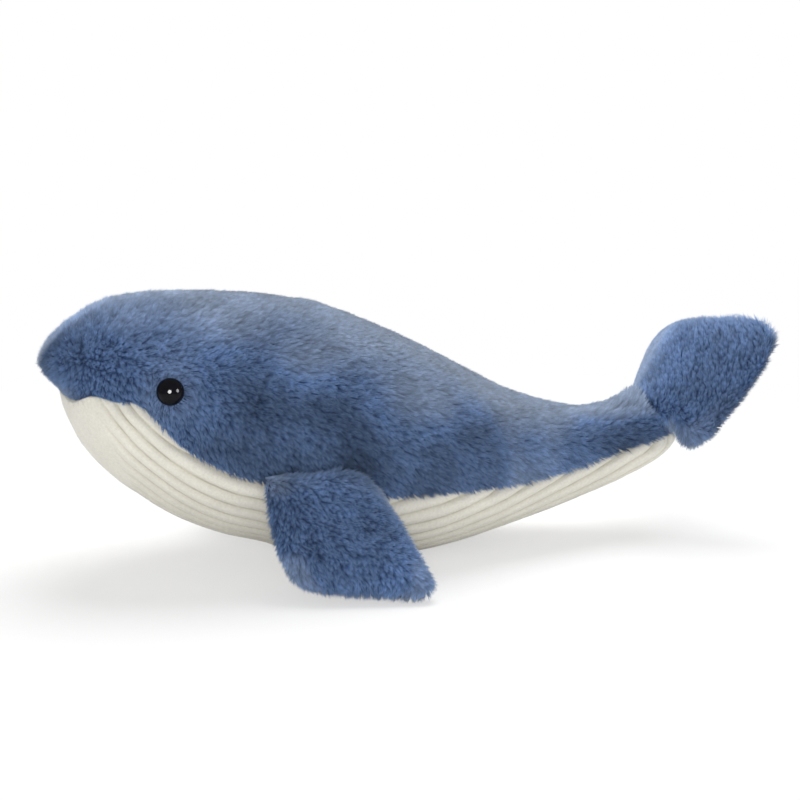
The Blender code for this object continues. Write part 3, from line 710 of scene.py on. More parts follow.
def flipperGrid(top, inset):
    s = flipperShape
    hinge, chord, span, depth = flipperAxes()
    along, across = np.meshgrid((1 + spread(s["rows"])) / 2, spread(s["columns"]), indexing="ij")
    width = s["chord"] / 2 * fromTable(s["widths"], along) - inset
    width = width * np.where(across > 0, 1 + (fromTable(s["rearFuller"], along) - 1) * across**2, 1)
    most = s["topDepth"] if top else s["underDepth"]
    rim = edgeShare(across, s["rimPower"]) * edgeShare(along, limbEndPower)
    thick = most * fromTable(s["depths"], along) * rim * (most - inset) / most
    share = across * width / (s["chord"] / 2)
    out = inset + along * (s["span"] + s["slant"] * share - 2 * inset)
    reach = out / s["span"]
    up = s["twist"] * reach * share + (thick if top else -thick)
    return (hinge + chord * (width * across + s["sweep"] * reach)[..., None]
            + span * out[..., None] + depth * up[..., None])


flukeShape = {
    "chord": 0.090,
    "halfSpan": 0.076,
    "rootDepth": 0.0204,
    "notch": 0.017,
    "dip": 0.100,
    "rise": 64,
    "arch": 19,
    "farArch": 20,
    "farSlump": 0.034,
    "archRound": 0.012,
    "thinning": 0.3,
    "rimPower": 2.3,
    "yaw": 8,
    "rootGap": 0.0004,
    "beside": 0.006,
    "wedge": 10.5,
    "widths": ((0.0, 0.36), (0.1, 0.58), (0.25, 0.74), (0.5, 0.86), (0.75, 0.94), (0.88, 0.92),
               (0.95, 0.82), (1.0, 0.62)),
    # the near lobe's stuffing
    "nearFuller": ((0.0, 1.0), (0.1, 1.05), (0.85, 1.06), (0.95, 1.14), (1.0, 1.30)),
    "nearDip": 0.004,
    "lips": ((0.0085, 0.038), (0.004, 0.034)),  # near and far: how far the front edge curls back, and where
    "lipWidth": 0.013,
    "depths": ((0.0, 1.0), (0.15, 0.86), (0.3, 0.76), (0.5, 0.70), (0.75, 0.60), (1.0, 0.42)),
    "rows": 34,
    "columns": 52,
}


def flukeAxes():  # hinge, the ways across, along and upwards, then ahead and up from the body's end
    tilt = math.radians(stations[-1][4])
    up = np.array((-math.sin(tilt), 0, math.cos(tilt)))
    ahead = np.array((up[2], 0, -up[0]))
    middle = bodyPoint(np.array(float(lastStation)), np.array(math.pi / 2)) * (1, 0, 1)
    hinge = middle + ahead * flukeShape["rootGap"] / 2
    rise, yaw = math.radians(flukeShape["rise"]), math.radians(flukeShape["yaw"])
    level = np.array((math.cos(yaw), math.sin(yaw), 0))
    lateral = np.array((math.sin(yaw), -math.cos(yaw), 0))
    chord = level * math.cos(rise) + np.array((0, 0, math.sin(rise)))
    depth = np.cross(lateral, chord)
    return hinge, lateral, chord, depth if depth[2] > 0 else -depth, ahead, up


def flukeGrid(top, inset):
    s = flukeShape
    hinge, lateral, chord, depth, ahead, up = flukeAxes()
    along, across = np.meshgrid((1 + spread(s["rows"])) / 2, spread(s["columns"]), indexing="ij")
    q = (s["halfSpan"] * fromTable(s["widths"], along) - inset) * across
    q = q * np.where(across > 0, 1 + (fromTable(s["nearFuller"], along) - 1) * across**2, 1)
    outward = np.abs(q) / s["halfSpan"]
    end = s["chord"] - s["notch"] * (1 - np.minimum(outward, 1)) ** 2 - inset
    end = end - np.where(q < 0, s["farSlump"] * outward, 0)
    root = s["halfSpan"] * s["widths"][0][1]
    dip = s["dip"] + np.where(q > 0, s["nearDip"], 0)
    drop = dip * np.maximum(np.abs(q) - root, 0) / s["halfSpan"] * (1 - along) ** 2
    for (curl, middle), here in zip(s["lips"], (q > 0, q < 0)):
        drop = drop + np.where(here, curl * hump(np.abs(q) - middle, s["lipWidth"]), 0) * (1 - along) ** 3
    full = s["rootDepth"] * fromTable(s["depths"], along)
    rim = edgeShare(across, s["rimPower"]) * edgeShare(along, limbEndPower)
    thick = full * rim * (1 - s["thinning"] * outward) * (s["rootDepth"] - inset) / s["rootDepth"]
    lean = np.where(q > 0, math.tan(math.radians(s["arch"])), math.tan(math.radians(s["farArch"])))
    arch = lean * (np.hypot(q, s["archRound"]) - s["archRound"])
    beside = np.clip((np.abs(q) + inset - root) / s["beside"], 0, 1)
    p = along * end - drop + inset * beside * (1 - along) ** 2
    n = -arch + (thick if top else -thick)
    point = hinge + lateral * q[..., None] + chord * p[..., None] + depth * n[..., None]
    past = np.abs(q) - root
    wall = np.clip(past + inset, 0, inset)
    free = np.maximum(past + inset - s["beside"], 0)
    slant = math.tan(math.radians(s["wedge"]))
    needed = np.abs((point - hinge) @ up) * slant + wall - free
    return point + ahead * np.maximum(needed - (point - hinge) @ ahead, 0)[..., None]


shoulder = {  # how far the top of the flipper is sewn up the flank, from its front to its rear
    "rise": ((-1.0, 0.005), (-0.5, 0.013), (0.0, 0.019), (0.3, 0.0195), (0.6, 0.014), (0.85, 0.004),
             (1.0, 0.0)),
    "reach": 0.34,  # share of the flipper's length that it shapes
    "easing": 1.3,
    "sink": 0.0030,
    "forward": 0.0085,  # how far the front edge is drawn forward near the root
    "forwardReach": 1.25,
}


def drawnForward(grid):
    chord = flipperAxes()[1]
    along = (1 + spread(grid.shape[0] - 1))[:, None] / 2
    front = falling(spread(grid.shape[1] - 1), 0.35, 1.35)[None] ** 1.6
    share = np.clip(1 - along / shoulder["forwardReach"], 0, 1)
    return grid - chord * (shoulder["forward"] * share * front)[..., None]


def withShoulder(top):
    root = top[0]
    at = stationAt((root[:, 0] + bodyShape["snoutAhead"]) / bodyShape["length"])
    rise = fromTable(shoulder["rise"], spread(top.shape[1] - 1))
    turns = seamTurn(at) - np.linspace(0, 1.1, 80)[:, None]
    length = girth(at, turns)
    turn = np.array([np.interp(rise[k], length[:, k], turns[:, k]) for k in range(len(at))])
    seat = bodyPoint(at, turn) - bodyNormal(at, turn) * shoulder["sink"]
    along = (1 + spread(top.shape[0] - 1)) / 2
    share = np.clip(1 - along / shoulder["reach"], 0, 1) ** shoulder["easing"]
    moved = (seat - root) * np.clip(rise / 0.004, 0, 1)[:, None]
    return top + moved * share[:, None, None]


def gridNormals(grid, other):  # away from the other face of the same limb
    along = np.gradient(grid, axis=0)
    across = np.gradient(grid, axis=1)
    normals = unit(np.cross(along, across))
    if (normals * (grid - other)).sum() < 0:
        normals = -normals
    return normals, unit(along), unit(across)


def stuffedLimb(name, top, under):
    count = top.size // 3
    faces = [*outwardFaces(top, gridNormals(top, under)[0]),
             *outwardFaces(under, gridNormals(under, top)[0], count)]
    edge = np.zeros(top.shape[:2], bool)
    edge[[0, -1]] = edge[:, [0, -1]] = True
    moved = swell(name, np.concatenate([top.reshape(-1, 3), under.reshape(-1, 3)]), faces,
                  np.concatenate([edge.ravel(), edge.ravel()]))
    return top + moved[:count].reshape(top.shape), under + moved[count:].reshape(top.shape)


limbDepth = pile["limbInset"] + deeper
plainTop, plainUnder = stuffedLimb("leftFlipper", flipperGrid(True, limbDepth), flipperGrid(False, limbDepth))
leftTop, leftUnder = drawnForward(withShoulder(plainTop)), drawnForward(plainUnder)
rightTop, rightUnder = mirrored(leftTop), mirrored(leftUnder)
flukeTop, flukeUnder = stuffedLimb("fluke", flukeGrid(True, limbDepth), flukeGrid(False, limbDepth))
limbCloths = {
    "left_flipper": closedBetween("leftFlipperCloth", leftTop, leftUnder, backing),
    "right_flipper": closedBetween("rightFlipperCloth", rightTop, rightUnder, backing),
    "fluke": closedBetween("flukeCloth", flukeTop, flukeUnder, backing),
}
print("limb skins made")


# eyes
eyeShape = {
    "place": 0.176,
    "height": 0.283,
    "radius": 0.0087,
    "dome": 0.0072,
    "sink": 0.0034,
    "lip": ((0.985, -0.0006), (0.90, -0.0008)),  # shares of the radius, and heights
    "stemRadius": 0.0022,
    "stemLength": 0.0150,
    "sides": 72,
    "steps": 22,
}


def eyeSeat(side):
    at = np.array(stationAt(eyeShape["place"]))
    turn = turnAt(np.array(eyeShape["height"]))
    normal = bodyNormal(at, turn)
    flip = np.array((1, side, 1))
    return (bodyPoint(at, turn) - normal * eyeShape["sink"]) * flip, normal * flip


def makeEye(side):
    s = eyeShape
    turns = np.linspace(0, math.pi / 2, s["steps"] + 1)
    profile = [(s["radius"] * math.sin(t), s["dome"] * math.cos(t)) for t in turns]
    profile += [(s["radius"] * share, height) for share, height in s["lip"]]
    profile += [(s["stemRadius"], s["lip"][-1][1])]
    profile += [(s["stemRadius"], -k) for k in np.linspace(0.001, s["stemLength"], 8)]
    profile += [(0, -s["stemLength"])]
    position, axis = eyeSeat(side)
    across = unit(np.cross(axis, (0, 0, 1)))
    upward = np.cross(across, axis)
    turns = 2 * math.pi * np.arange(s["sides"]) / s["sides"]
    ring = np.cos(turns)[:, None] * across + np.sin(turns)[:, None] * upward
    points = np.concatenate([position + axis * height + ring * radius for radius, height in profile])
    faces = []
    for i in range(len(profile) - 1):
        for k in range(s["sides"]):
            a, b = i * s["sides"] + k, i * s["sides"] + (k + 1) % s["sides"]
            faces.append((a, b, b + s["sides"], a + s["sides"]))
    eye = tidied(meshObject(f"{words[side]}EyeDome", points, faces))
    eye.data.materials.append(eyeBlack)
    return eye


leftEye, rightEye = makeEye(1), makeEye(-1)
print("eyes made")


# pile: tapered strands grown on the skins by one node tree
strand = {
    "length": 0.0068,
    "radius": 0.00036,
    "sides": 3,
    "skinShading": 0.48,  # how much a strand shades as the skin under it does
    "mapMargin": 0.12,  # round each strand's cell of the map
}
furGrowth = {
    "Density": 4300000.0,  # strands in a square metre
    "Lift": 1.35,  # against 1 along the lie of the pile
    "Clump Size": 0.0028,
    "Clump Pull": 0.75,
    "Swirl": 1.35,
    "Jitter": 0.40,
    "Shortest": 0.74,
    "Longest": 1.14,
}


def makeStrand():
    turns = 2 * math.pi * np.arange(strand["sides"]) / strand["sides"]
    vertices = [(strand["radius"] * math.cos(t), strand["radius"] * math.sin(t), 0) for t in turns]
    tip = len(vertices)
    faces = [(k, (k + 1) % tip, tip) for k in range(tip)]
    thing = meshObject("strand", vertices + [(0, 0, strand["length"])], faces)
    along = thing.data.attributes.new("along", "FLOAT", "POINT")
    along.data.foreach_set("value", [v.co.z / strand["length"] for v in thing.data.vertices])
    thing.data.shade_smooth()
    return thing


def furTree():
    tree = bpy.data.node_groups.new("pileGrowth", "GeometryNodeTree")
    kinds = {"Geometry": "Geometry", **{name: "Float" for name in furGrowth},
             "Seed": "Int", "Strand": "Object", "Material": "Material"}
    for name, kind in kinds.items():
        socket = tree.interface.new_socket(name=name, in_out="INPUT", socket_type="NodeSocket" + kind)
        if name in furGrowth:
            socket.default_value = furGrowth[name]
    tree.interface.new_socket(name="Geometry", in_out="OUTPUT", socket_type="NodeSocketGeometry")
    given = addNode(tree, "NodeGroupInput").outputs

    def named(name, kind="FLOAT"):
        node = addNode(tree, "GeometryNodeInputNamedAttribute", {"Name": name}, data_type=kind)
        return node.outputs["Attribute"]

    def vector(operation, a, b=None, scale=None):
        inputs = {key: value for key, value in ((0, a), (1, b), ("Scale", scale)) if value is not None}
        node = addNode(tree, "ShaderNodeVectorMath", inputs, operation=operation)
        return node.outputs["Value"] if operation == "DOT_PRODUCT" else node.outputs["Vector"]

    def times(a, b):
        return calculated(tree, "MULTIPLY", a, b)

    def less(a, b):
        return calculated(tree, "SUBTRACT", a, b)

    def randomNumber(low, high, seed):
        node = addNode(tree, "FunctionNodeRandomValue", {2: low, 3: high, "Seed": seed}, data_type="FLOAT")
        return node.outputs[1]

    place = addNode(tree, "GeometryNodeInputPosition").outputs[0]
    normal = named("upright", "FLOAT_VECTOR")
    sleek = named("sleek")
    loose = less(1.0, times(sleek, 0.75))
    points = addNode(tree, "GeometryNodeDistributePointsOnFaces",
                     {"Mesh": given["Geometry"], "Density": times(given["Density"], named("thick")),
                      "Seed": given["Seed"]})
    scale = calculated(tree, "DIVIDE", 1.0, given["Clump Size"])
    clumps = addNode(tree, "ShaderNodeTexVoronoi", {"Vector": place, "Scale": scale}).outputs
    pull = times(calculated(tree, "DIVIDE", given["Clump Pull"], given["Clump Size"]), loose)
    inward = vector("SCALE", vector("SUBTRACT", clumps["Position"], place), scale=pull)
    level = vector("SCALE", normal, scale=vector("DOT_PRODUCT", inward, normal))
    inward = vector("SUBTRACT", inward, level)
    swirl = addNode(tree, "ShaderNodeTexNoise", {"Vector": place, "Scale": 140.0, "Detail": 2.0})
    swirl = vector("SCALE", vector("SUBTRACT", swirl.outputs["Color"], (0.5, 0.5, 0.5)),
                   scale=times(times(given["Swirl"], 2.0), loose))
    jitter = addNode(tree, "FunctionNodeRandomValue", {0: (-1, -1, -1), 1: (1, 1, 1), "Seed": 11},
                     data_type="FLOAT_VECTOR")
    jitter = vector("SCALE", jitter.outputs[0], scale=times(given["Jitter"], loose))
    lifted = times(times(given["Lift"], named("lift")), less(1.0, times(sleek, 0.35)))
    way = vector("ADD", named("lay", "FLOAT_VECTOR"), vector("SCALE", normal, scale=lifted))
    way = vector("ADD", vector("ADD", way, inward), vector("ADD", swirl, jitter))
    way = vector("NORMALIZE", way)
    short = addNode(tree, "ShaderNodeMath", {0: 0.22, 1: vector("DOT_PRODUCT", way, normal)},
                    operation="SUBTRACT", use_clamp=True)  # no strand lies flatter than this
    way = vector("ADD", way, vector("SCALE", normal, scale=short.outputs[0]))
    turn = addNode(tree, "FunctionNodeAlignRotationToVector", {"Vector": way}, axis="Z").outputs["Rotation"]
    size = times(named("pile"), randomNumber(given["Shortest"], given["Longest"], 12))
    tuft = addNode(tree, "ShaderNodeSeparateXYZ", {0: clumps["Color"]}).outputs["X"]
    outer = times(less(0.62, times(clumps["Distance"], 1.1)), 0.7)  # painted shade: tufts are lighter in the middle and darker at their edges, in the gaps between them
    tone = calculated(tree, "ADD", times(randomNumber(0.0, 1.0, 13), 0.4), times(tuft, 0.4))
    tone = calculated(tree, "ADD", tone, outer)
    kept = points.outputs["Points"]
    # nap carries the painted sheen and painted shade to the pile's colour
    for name, kind, value in (("tone", "FLOAT", tone), ("nap", "FLOAT", named("brushed")),
                              ("rootNormal", "FLOAT_VECTOR", normal)):
        values = {"Geometry": kept, "Name": name, "Value": value}
        store = addNode(tree, "GeometryNodeStoreNamedAttribute", values, data_type=kind, domain="POINT")
        kept = store.outputs["Geometry"]
    strands = addNode(tree, "GeometryNodeObjectInfo", {"Object": given["Strand"]}).outputs["Geometry"]
    grown = addNode(tree, "GeometryNodeInstanceOnPoints",
                    {"Points": kept, "Instance": strands, "Rotation": turn, "Scale": size}).outputs["Instances"]
    real = addNode(tree, "GeometryNodeRealizeInstances", {"Geometry": grown}).outputs["Geometry"]
    painted = addNode(tree, "GeometryNodeSetMaterial", {"Geometry": real, "Material": given["Material"]})
    addNode(tree, "NodeGroupOutput", {"Geometry": painted.outputs["Geometry"]})
    return tree


pileStrand = makeStrand()
pileTree = furTree()


def softNormals(thing, share):  # strands shade partly as the skin under them does
    mesh = thing.data
    count = len(mesh.vertices)
    root, own = np.empty(count * 3, np.float32), np.empty(count * 3, np.float32)
    mesh.attributes["rootNormal"].data.foreach_get("vector", root)
    mesh.vertex_normals.foreach_get("vector", own)
    normals = unit(root.reshape(-1, 3) * share + own.reshape(-1, 3) * (1 - share))
    mesh.shade_smooth()
    mesh.normals_split_custom_set_from_vertices(normals.tolist())


def clampToFloor(thing):
    mesh = thing.data
    points = np.empty(len(mesh.vertices) * 3, np.float32)
    mesh.vertices.foreach_get("co", points)
    points[2::3] = np.maximum(points[2::3], 0.0002)
    mesh.vertices.foreach_set("co", points)


def mapStrands(thing):  # each strand has its own cell of the map, root at the bottom and tip at the top
    mesh = thing.data
    cells = math.ceil(math.sqrt(len(mesh.loops) // (3 * strand["sides"])))
    along = np.empty(len(mesh.vertices), np.float32)
    mesh.attributes["along"].data.foreach_get("value", along)
    corner = np.empty(len(mesh.loops), np.int32)
    mesh.loops.foreach_get("vertex_index", corner)
    which = corner // (strand["sides"] + 1)
    side = corner % (strand["sides"] + 1)
    u = np.where(side == strand["sides"], 0.5, side / (strand["sides"] - 1))
    cell = np.stack([which % cells, which // cells], 1).astype(np.float32)
    room = 1 - 2 * strand["mapMargin"]
    within = strand["mapMargin"] + room * np.stack([u, along[corner]], 1)
    layer = mesh.uv_layers.new(name="OFBake")
    layer.uv.foreach_set("vector", ((cell + within) / cells).astype(np.float32).ravel())


def growFur(name, grid, seed, fields):  # fields: upright, lay, pile, thick, lift, sleek and brushed, the last of which only sets the painted sheen and painted shade
    emitter = meshObject("emitter", grid.reshape(-1, 3), outwardFaces(grid, fields["upright"]))
    for key, values in fields.items():
        isVector = values.ndim == 3
        spot = emitter.data.attributes.new(key, "FLOAT_VECTOR" if isVector else "FLOAT", "POINT")
        flat = np.ascontiguousarray(values, np.float32).ravel()
        spot.data.foreach_set("vector" if isVector else "value", flat)
    modifier = emitter.modifiers.new("pile", "NODES")
    modifier.node_group = pileTree
    given = {**furGrowth, "Seed": seed, "Strand": pileStrand, "Material": furCloth}
    for socket in pileTree.interface.items_tree:
        if socket.in_out == "INPUT" and socket.name in given:
            modifier[socket.identifier] = given[socket.name]
    fur = applied(emitter, name)
    clampToFloor(fur)
    softNormals(fur, strand["skinShading"])
    mapStrands(fur)
    for key in (*fields, "rootNormal"):
        if key in fur.data.attributes:
            fur.data.attributes.remove(fur.data.attributes[key])
    print(name, len(fur.data.polygons), "faces")
    return fur


brushing = {  # by place along the body, or by share of the way from the back down to the belly seam
    "along": ((0.0, 0.05), (0.09, 0.28), (0.14, 0.36), (0.2, 0.28), (0.3, 0.25), (0.5, 0.20), (0.69, 0.20),
              (0.72, 0.40), (0.9, 0.10)),  # how flat the pile lies, and so how pale it is painted, a painted sheen
    "cheek": ((0.10, 0.0), (0.20, 0.1), (0.28, 1.0), (0.42, 1.0), (0.50, 0.8), (0.69, 0.6), (0.72, 0.0),
              (0.84, 0.0), (0.92, 0.5)),  # where it is ruffled instead, and painted darker, a painted shade
    "cheekRuffleAndShade": 0.64,
    "cheekFrom": (0.45, 0.25),
    # how far down the sleek back reaches, painted paler there, a painted sheen on the top
    "ridge": ((0.0, 0.40), (0.2, 0.46), (0.35, 0.62), (0.6, 0.72), (0.9, 0.62), (1.0, 0.50)),
    "ridgeFade": 0.40,
    "patchScale": 26.0,
    "patches": 0.35,
    "ridgePatches": 0.20,
    "lean": (8, 46, 1.4),  # degrees down from the body's length on the back, what the seam adds, and its power
    "rim": (0.86, 0.14),  # the row beside the seam
    "rimLean": ((0.0, 0.25), (0.10, 0.25), (0.16, 0.75), (0.8, 0.75), (1.0, 0.60)),  # share of the lean there
    "rimLength": ((0.0, 0.75), (0.10, 0.75), (0.16, 0.95), (0.7, 0.90), (0.84, 1.25), (1.0, 1.25)),
    "noseHang": (0.55, 0.085),  # the nose's pile hangs by this share, and how far along
    "noseLoose": (0.7, 0.11),
    "eyeTurn": (0.7, 0.017, 0.009),  # the pile turns away from the eye: share, where it ends, softness
    "eyeSleek": (0.45, 0.020),
    "eyeTrim": (0.40, 0.016, 0.008),
    "eyeBare": 0.84,  # share of the eye's radius without pile
    "rootTrim": (0.28, 0.010, 0.008),  # beside the flipper's root
    "chinTrim": (0.62, 0.075),
    "snoutTrim": (0.25, 0.05),
    "tailTrim": 0.45,
    "neckLonger": 0.55,  # fills the crease before the fluke
    "neckLift": 0.6,
    "flankLift": 0.25,
    "sections": (0.0, 0.20, 0.40, 0.62, 1.01),  # one piece of pile between each two
}


def flipperRootGap(skin, side):  # how far each place on the side is from the flipper's upper root edge
    roots = (leftTop if side > 0 else rightTop)[:3].reshape(-1, 3)
    return np.stack([np.linalg.norm(skin - root, axis=-1) for root in roots[::3]]).min(axis=0)


def turnedTo(ways, others, share):
    return unit(ways * (1 - share)[..., None] + others * share[..., None])


def sideFur(side, skin):
    b = brushing
    at, turn, share = sideGrid(side)
    flip = np.array((1, side, 1))
    tailward, downward = (way * flip for way in bodyTangents(at, np.abs(turn)))
    normals = bodyNormal(at, np.abs(turn)) * flip
    place = eased(at, 0)
    rim = rising(share, *b["rim"])
    least, more, power = b["lean"]
    lean = (least + more * share**power) * (1 - rim + rim * fromTable(b["rimLean"], place))
    lean = np.radians(lean)[..., None]
    lay = unit(tailward * np.cos(lean) + downward * np.sin(lean))
    hang = normals[..., 2:] * normals - np.array((0, 0, 1.0))
    lay = turnedTo(lay, hang, b["noseHang"][0] * hump(place, b["noseHang"][1]) * falling(share, 0.8, 0.3))
    eye, axis = eyeSeat(side)
    fromEye = skin - eye
    fromEye = fromEye - (fromEye @ axis)[..., None] * axis
    gap = np.linalg.norm(fromEye, axis=-1)
    lay = turnedTo(lay, unit(fromEye), b["eyeTurn"][0] * falling(gap, *b["eyeTurn"][1:]))
    patches = noiseOver(skin, b["patchScale"])
    ridge = rising(fromTable(b["ridge"], place) + b["ridgePatches"] * patches, share, b["ridgeFade"])
    brushed = fromTable(b["along"], place) + b["patches"] * patches
    # the ruffled cheeks are also painted darker, a painted shade
    brushed = brushed - b["cheekRuffleAndShade"] * fromTable(b["cheek"], place) * rising(share, *b["cheekFrom"])
    sleek = ridge + (1 - ridge) * brushed
    sleek = sleek * (1 - b["noseLoose"][0] * hump(place, b["noseLoose"][1]))
    sleek = sleek + np.maximum(b["eyeSleek"][0] - sleek, 0) * hump(gap, b["eyeSleek"][1])
    length = 1 - b["eyeTrim"][0] * falling(gap, *b["eyeTrim"][1:])
    length = length * (1 - b["rootTrim"][0] * falling(flipperRootGap(skin, side), *b["rootTrim"][1:]))
    length = length * (1 - rim + rim * fromTable(b["rimLength"], place))
    chin = np.exp(-((place / b["chinTrim"][1]) ** 4))
    length = length * (1 - b["chinTrim"][0] * rising(share, 0.55, 0.3) * chin)
    length = length * (1 - b["tailTrim"] * rising(place, 0.955, 0.045) * rising(share, 0.12, 0.25))
    snout = hump(place, b["snoutTrim"][1]) * falling(share, 0.65, 0.2)
    neck = rising(place, 0.93, 0.06) * falling(share, 0.34, 0.2)
    fields = {
        "upright": normals,
        "lay": lay,
        "pile": length * (1 - b["snoutTrim"][0] * snout) + b["neckLonger"] * neck,
        "thick": np.where(gap < eyeShape["radius"] * b["eyeBare"], 0.0, 1.0),
        "lift": 1 + b["flankLift"] * rising(share, 0.4, 0.3) + b["neckLift"] * neck,
        "sleek": np.maximum(np.maximum(sleek, -0.2), 0.50 * rim),
        # this only paints: paler where the pile lies flat, a painted sheen, and darker where it is ruffled, a
        # painted shade
        "brushed": sleek,
    }
    made = []
    for number, (start, end) in enumerate(zip(b["sections"], b["sections"][1:])):
        rows = np.flatnonzero((eased(sideRows, 0) >= start) & (eased(sideRows, 0) < end))
        rows = np.append(rows, rows[-1] + 1) if rows[-1] + 1 < len(sideRows) else rows
        made.append(growFur(f"{words[side]}SideFur{number + 1}", skin[rows], number + (20 if side > 0 else 30),
                            {key: values[rows] for key, values in fields.items()}))
    return made


def limbFur(name, grid, other, rearward, sleekAt, lengthAt, seed):
    isFluke = rearward == 0
    normals, along, across = gridNormals(grid, other)
    rows, columns = grid.shape[:2]
    out = (1 + spread(rows - 1))[:, None] / 2 * np.ones(columns)
    place = spread(columns - 1)[None] * np.ones((rows, 1))
    edge = powered(place, 5) * np.clip(out / 0.35, 0, 1)
    root = falling(out, 0.12, 0.12)
    lip = falling(out, 0.3, 0.2) * rising(place, 0.6, 0.3) * isFluke
    outward = (0.12 if isFluke else 0.5) * edge
    lay = unit(along * (1 - 0.9 * root - 1.1 * lip)[..., None] + across * (rearward + outward + lip)[..., None])
    # below nought on the fluke alone, where the ruffled pile is painted darker, a painted shade; above nought
    # it is painted paler, a painted sheen
    brushed = np.clip(sleekAt(out, place) + 0.30 * noiseOver(grid, 30.0), -0.5 if isFluke else 0, 1)
    flat = np.ones((rows, columns))
    return growFur(name, grid, seed, {
        "upright": normals, "lay": lay, "pile": lengthAt(out, place), "thick": flat, "lift": flat,
        "sleek": np.maximum(brushed, 0), "brushed": brushed})


# smooth at the root and the long edges, ruffled below the root, smoother at the end; the smooth parts are
# painted paler, a painted sheen
def flipperSleek(out, place):
    zones = fromTable(((0.0, 0.4), (0.10, 0.3), (0.2, -0.35), (0.5, -0.3), (0.7, 0.2), (1.0, 0.3)), out)
    return zones + np.clip((np.abs(place) - 0.70) / 0.25, 0, 0.32)


def flipperLength(out, place):
    corner = rising(out, 0.6, 0.3) * rising(place, 0.5, 0.4)
    return 0.86 + 0.12 * corner - 0.14 * rising(np.abs(place), 0.7, 0.3) * (1 - corner)


def flukeSleek(out, place):  # the far lobe and the rims lie flat and are painted paler, a painted sheen; the near lobe is ruffled and painted darker, a painted shade
    root = falling(out, 0.3, 0.25) * falling(place, 0.3, 0.4)
    rim = np.clip((np.abs(place) - 0.72) / 0.20, 0, 0.85) * (1.1 - out)
    return np.maximum(np.clip(0.05 - place * 1.5, -0.32, 0.60) + rim, 0.40 * root)


def flukeLength(out, place):  # shorter on the far lobe, longer at the near lobe's two ends
    tip = rising(out, 0.7, 0.3) * rising(place, 0.6, 0.4)
    lip = falling(out, 0.30, 0.2) * rising(place, 0.55, 0.3)
    rim = rising(place, 0.75, 0.25) * (1 - tip)
    root = falling(out, 0.22, 0.2) * falling(place, 0.4, 0.5)
    far = np.clip(-place / 0.5, 0, 1) * (1 - root)
    return 0.80 - 0.42 * far - 0.12 * rim + 0.55 * tip + 0.45 * lip + 0.35 * root


# how far rearward the pile leans, how flat it lies, which also sets its painted sheen and shade, and how long
# it is
flipperWays = (0.25, flipperSleek, flipperLength)
flukeWays = (0.0, flukeSleek, flukeLength)
furPieces = {"body": sideFur(1, leftSkin) + sideFur(-1, rightSkin)}
for body, name, top, under, ways, seed in (
        ("left_flipper", "leftFlipperFur", leftTop, leftUnder, flipperWays, 41),
        ("right_flipper", "rightFlipperFur", rightTop, rightUnder, flipperWays, 43),
        ("fluke", "flukeFur", flukeTop, flukeUnder, flukeWays, 45)):
    furPieces[body] = [limbFur(name + "Top", top, under, *ways, seed),
                       limbFur(name + "Under", under, top, *ways, seed + 1)]
bpy.data.objects.remove(pileStrand, do_unlink=True)
print("pile grown")


# what is inside
inside = {
    # room under the skin, lump depth and scale, tuft depth and scale
    "body": (0.0022, 0.0022, 60.0, 0.0004, 260.0),
    "pouch": (0.0, 0.0002, 90.0, 0.0001, 300.0),
    "coreEnds": (-0.165, 0.150),  # the body's filling shrinks towards this line along its middle
    "limbThickness": 0.86,
    "limbOutline": 0.965,
    "limbStart": 6,  # rows left empty at the root, so that the limb can turn
    "limbLumps": (0.10, 80.0),
}


def coreOf(point):  # the nearest place on the body's middle line
    x = min(max(point.x, inside["coreEnds"][0]), inside["coreEnds"][1])
    share = (x + bodyShape["snoutAhead"]) / bodyShape["length"]
    return Vector((x, 0, float(fromTable(stations, share)) * bodyShape["height"]))


def fromNode(name, node, material, kind):
    room, lump, lumpScale, tuft, tuftScale = inside[kind]
    thing = newObject("whole", nodes[node].data.copy())
    thing.data.materials.clear()
    finer = tidied(thing, 1e-5).modifiers.new("finer", "SUBSURF")
    finer.subdivision_type = "SIMPLE"
    finer.levels = finer.render_levels = 1
    filled = applied(thing, name)
    for vertex in filled.data.vertices:
        broad = noise.noise(vertex.co * lumpScale) + 1
        fine = noise.noise(vertex.co * tuftScale) + 1
        way = vertex.normal if kind == "pouch" else (vertex.co - coreOf(vertex.co)).normalized()
        vertex.co -= way * (room + lump * broad / 2 + tuft * fine)
    filled.data.materials.append(material)
    filled.data.shade_smooth()
    return filled


def limbFilling(name, top, under):
    top, under = top[inside["limbStart"]:], under[inside["limbStart"]:]
    middle = (top + under) / 2
    heart = middle.mean(axis=(0, 1))
    middle = heart + (middle - heart) * inside["limbOutline"]
    depth, scale = inside["limbLumps"]
    half = (top - under) / 2 * (inside["limbThickness"] - depth * np.abs(noiseOver(middle, scale)))[..., None]
    half[0] = 0
    return closedBetween(name, middle + half, middle - half, fibre)


bodyFilling = fromNode("bodyFilling", "body_stuffing", fibre, "body")
leftFilling = limbFilling("leftFlipperFilling", plainTop, plainUnder)
rightFilling = limbFilling("rightFlipperFilling", mirrored(plainTop), mirrored(plainUnder))
flukeFilling = limbFilling("flukeFilling", flukeTop, flukeUnder)
pouch = fromNode("pelletPouch", "bean_pouch", cotton, "pouch")
for node, material in (("left_eye_washer", nylon), ("right_eye_washer", nylon), ("pellet_fill", pelletPlastic),
                       ("closing_seam_thread", cotton)):
    nodes[node].data.materials.clear()
    nodes[node].data.materials.append(material)
print("inside made")


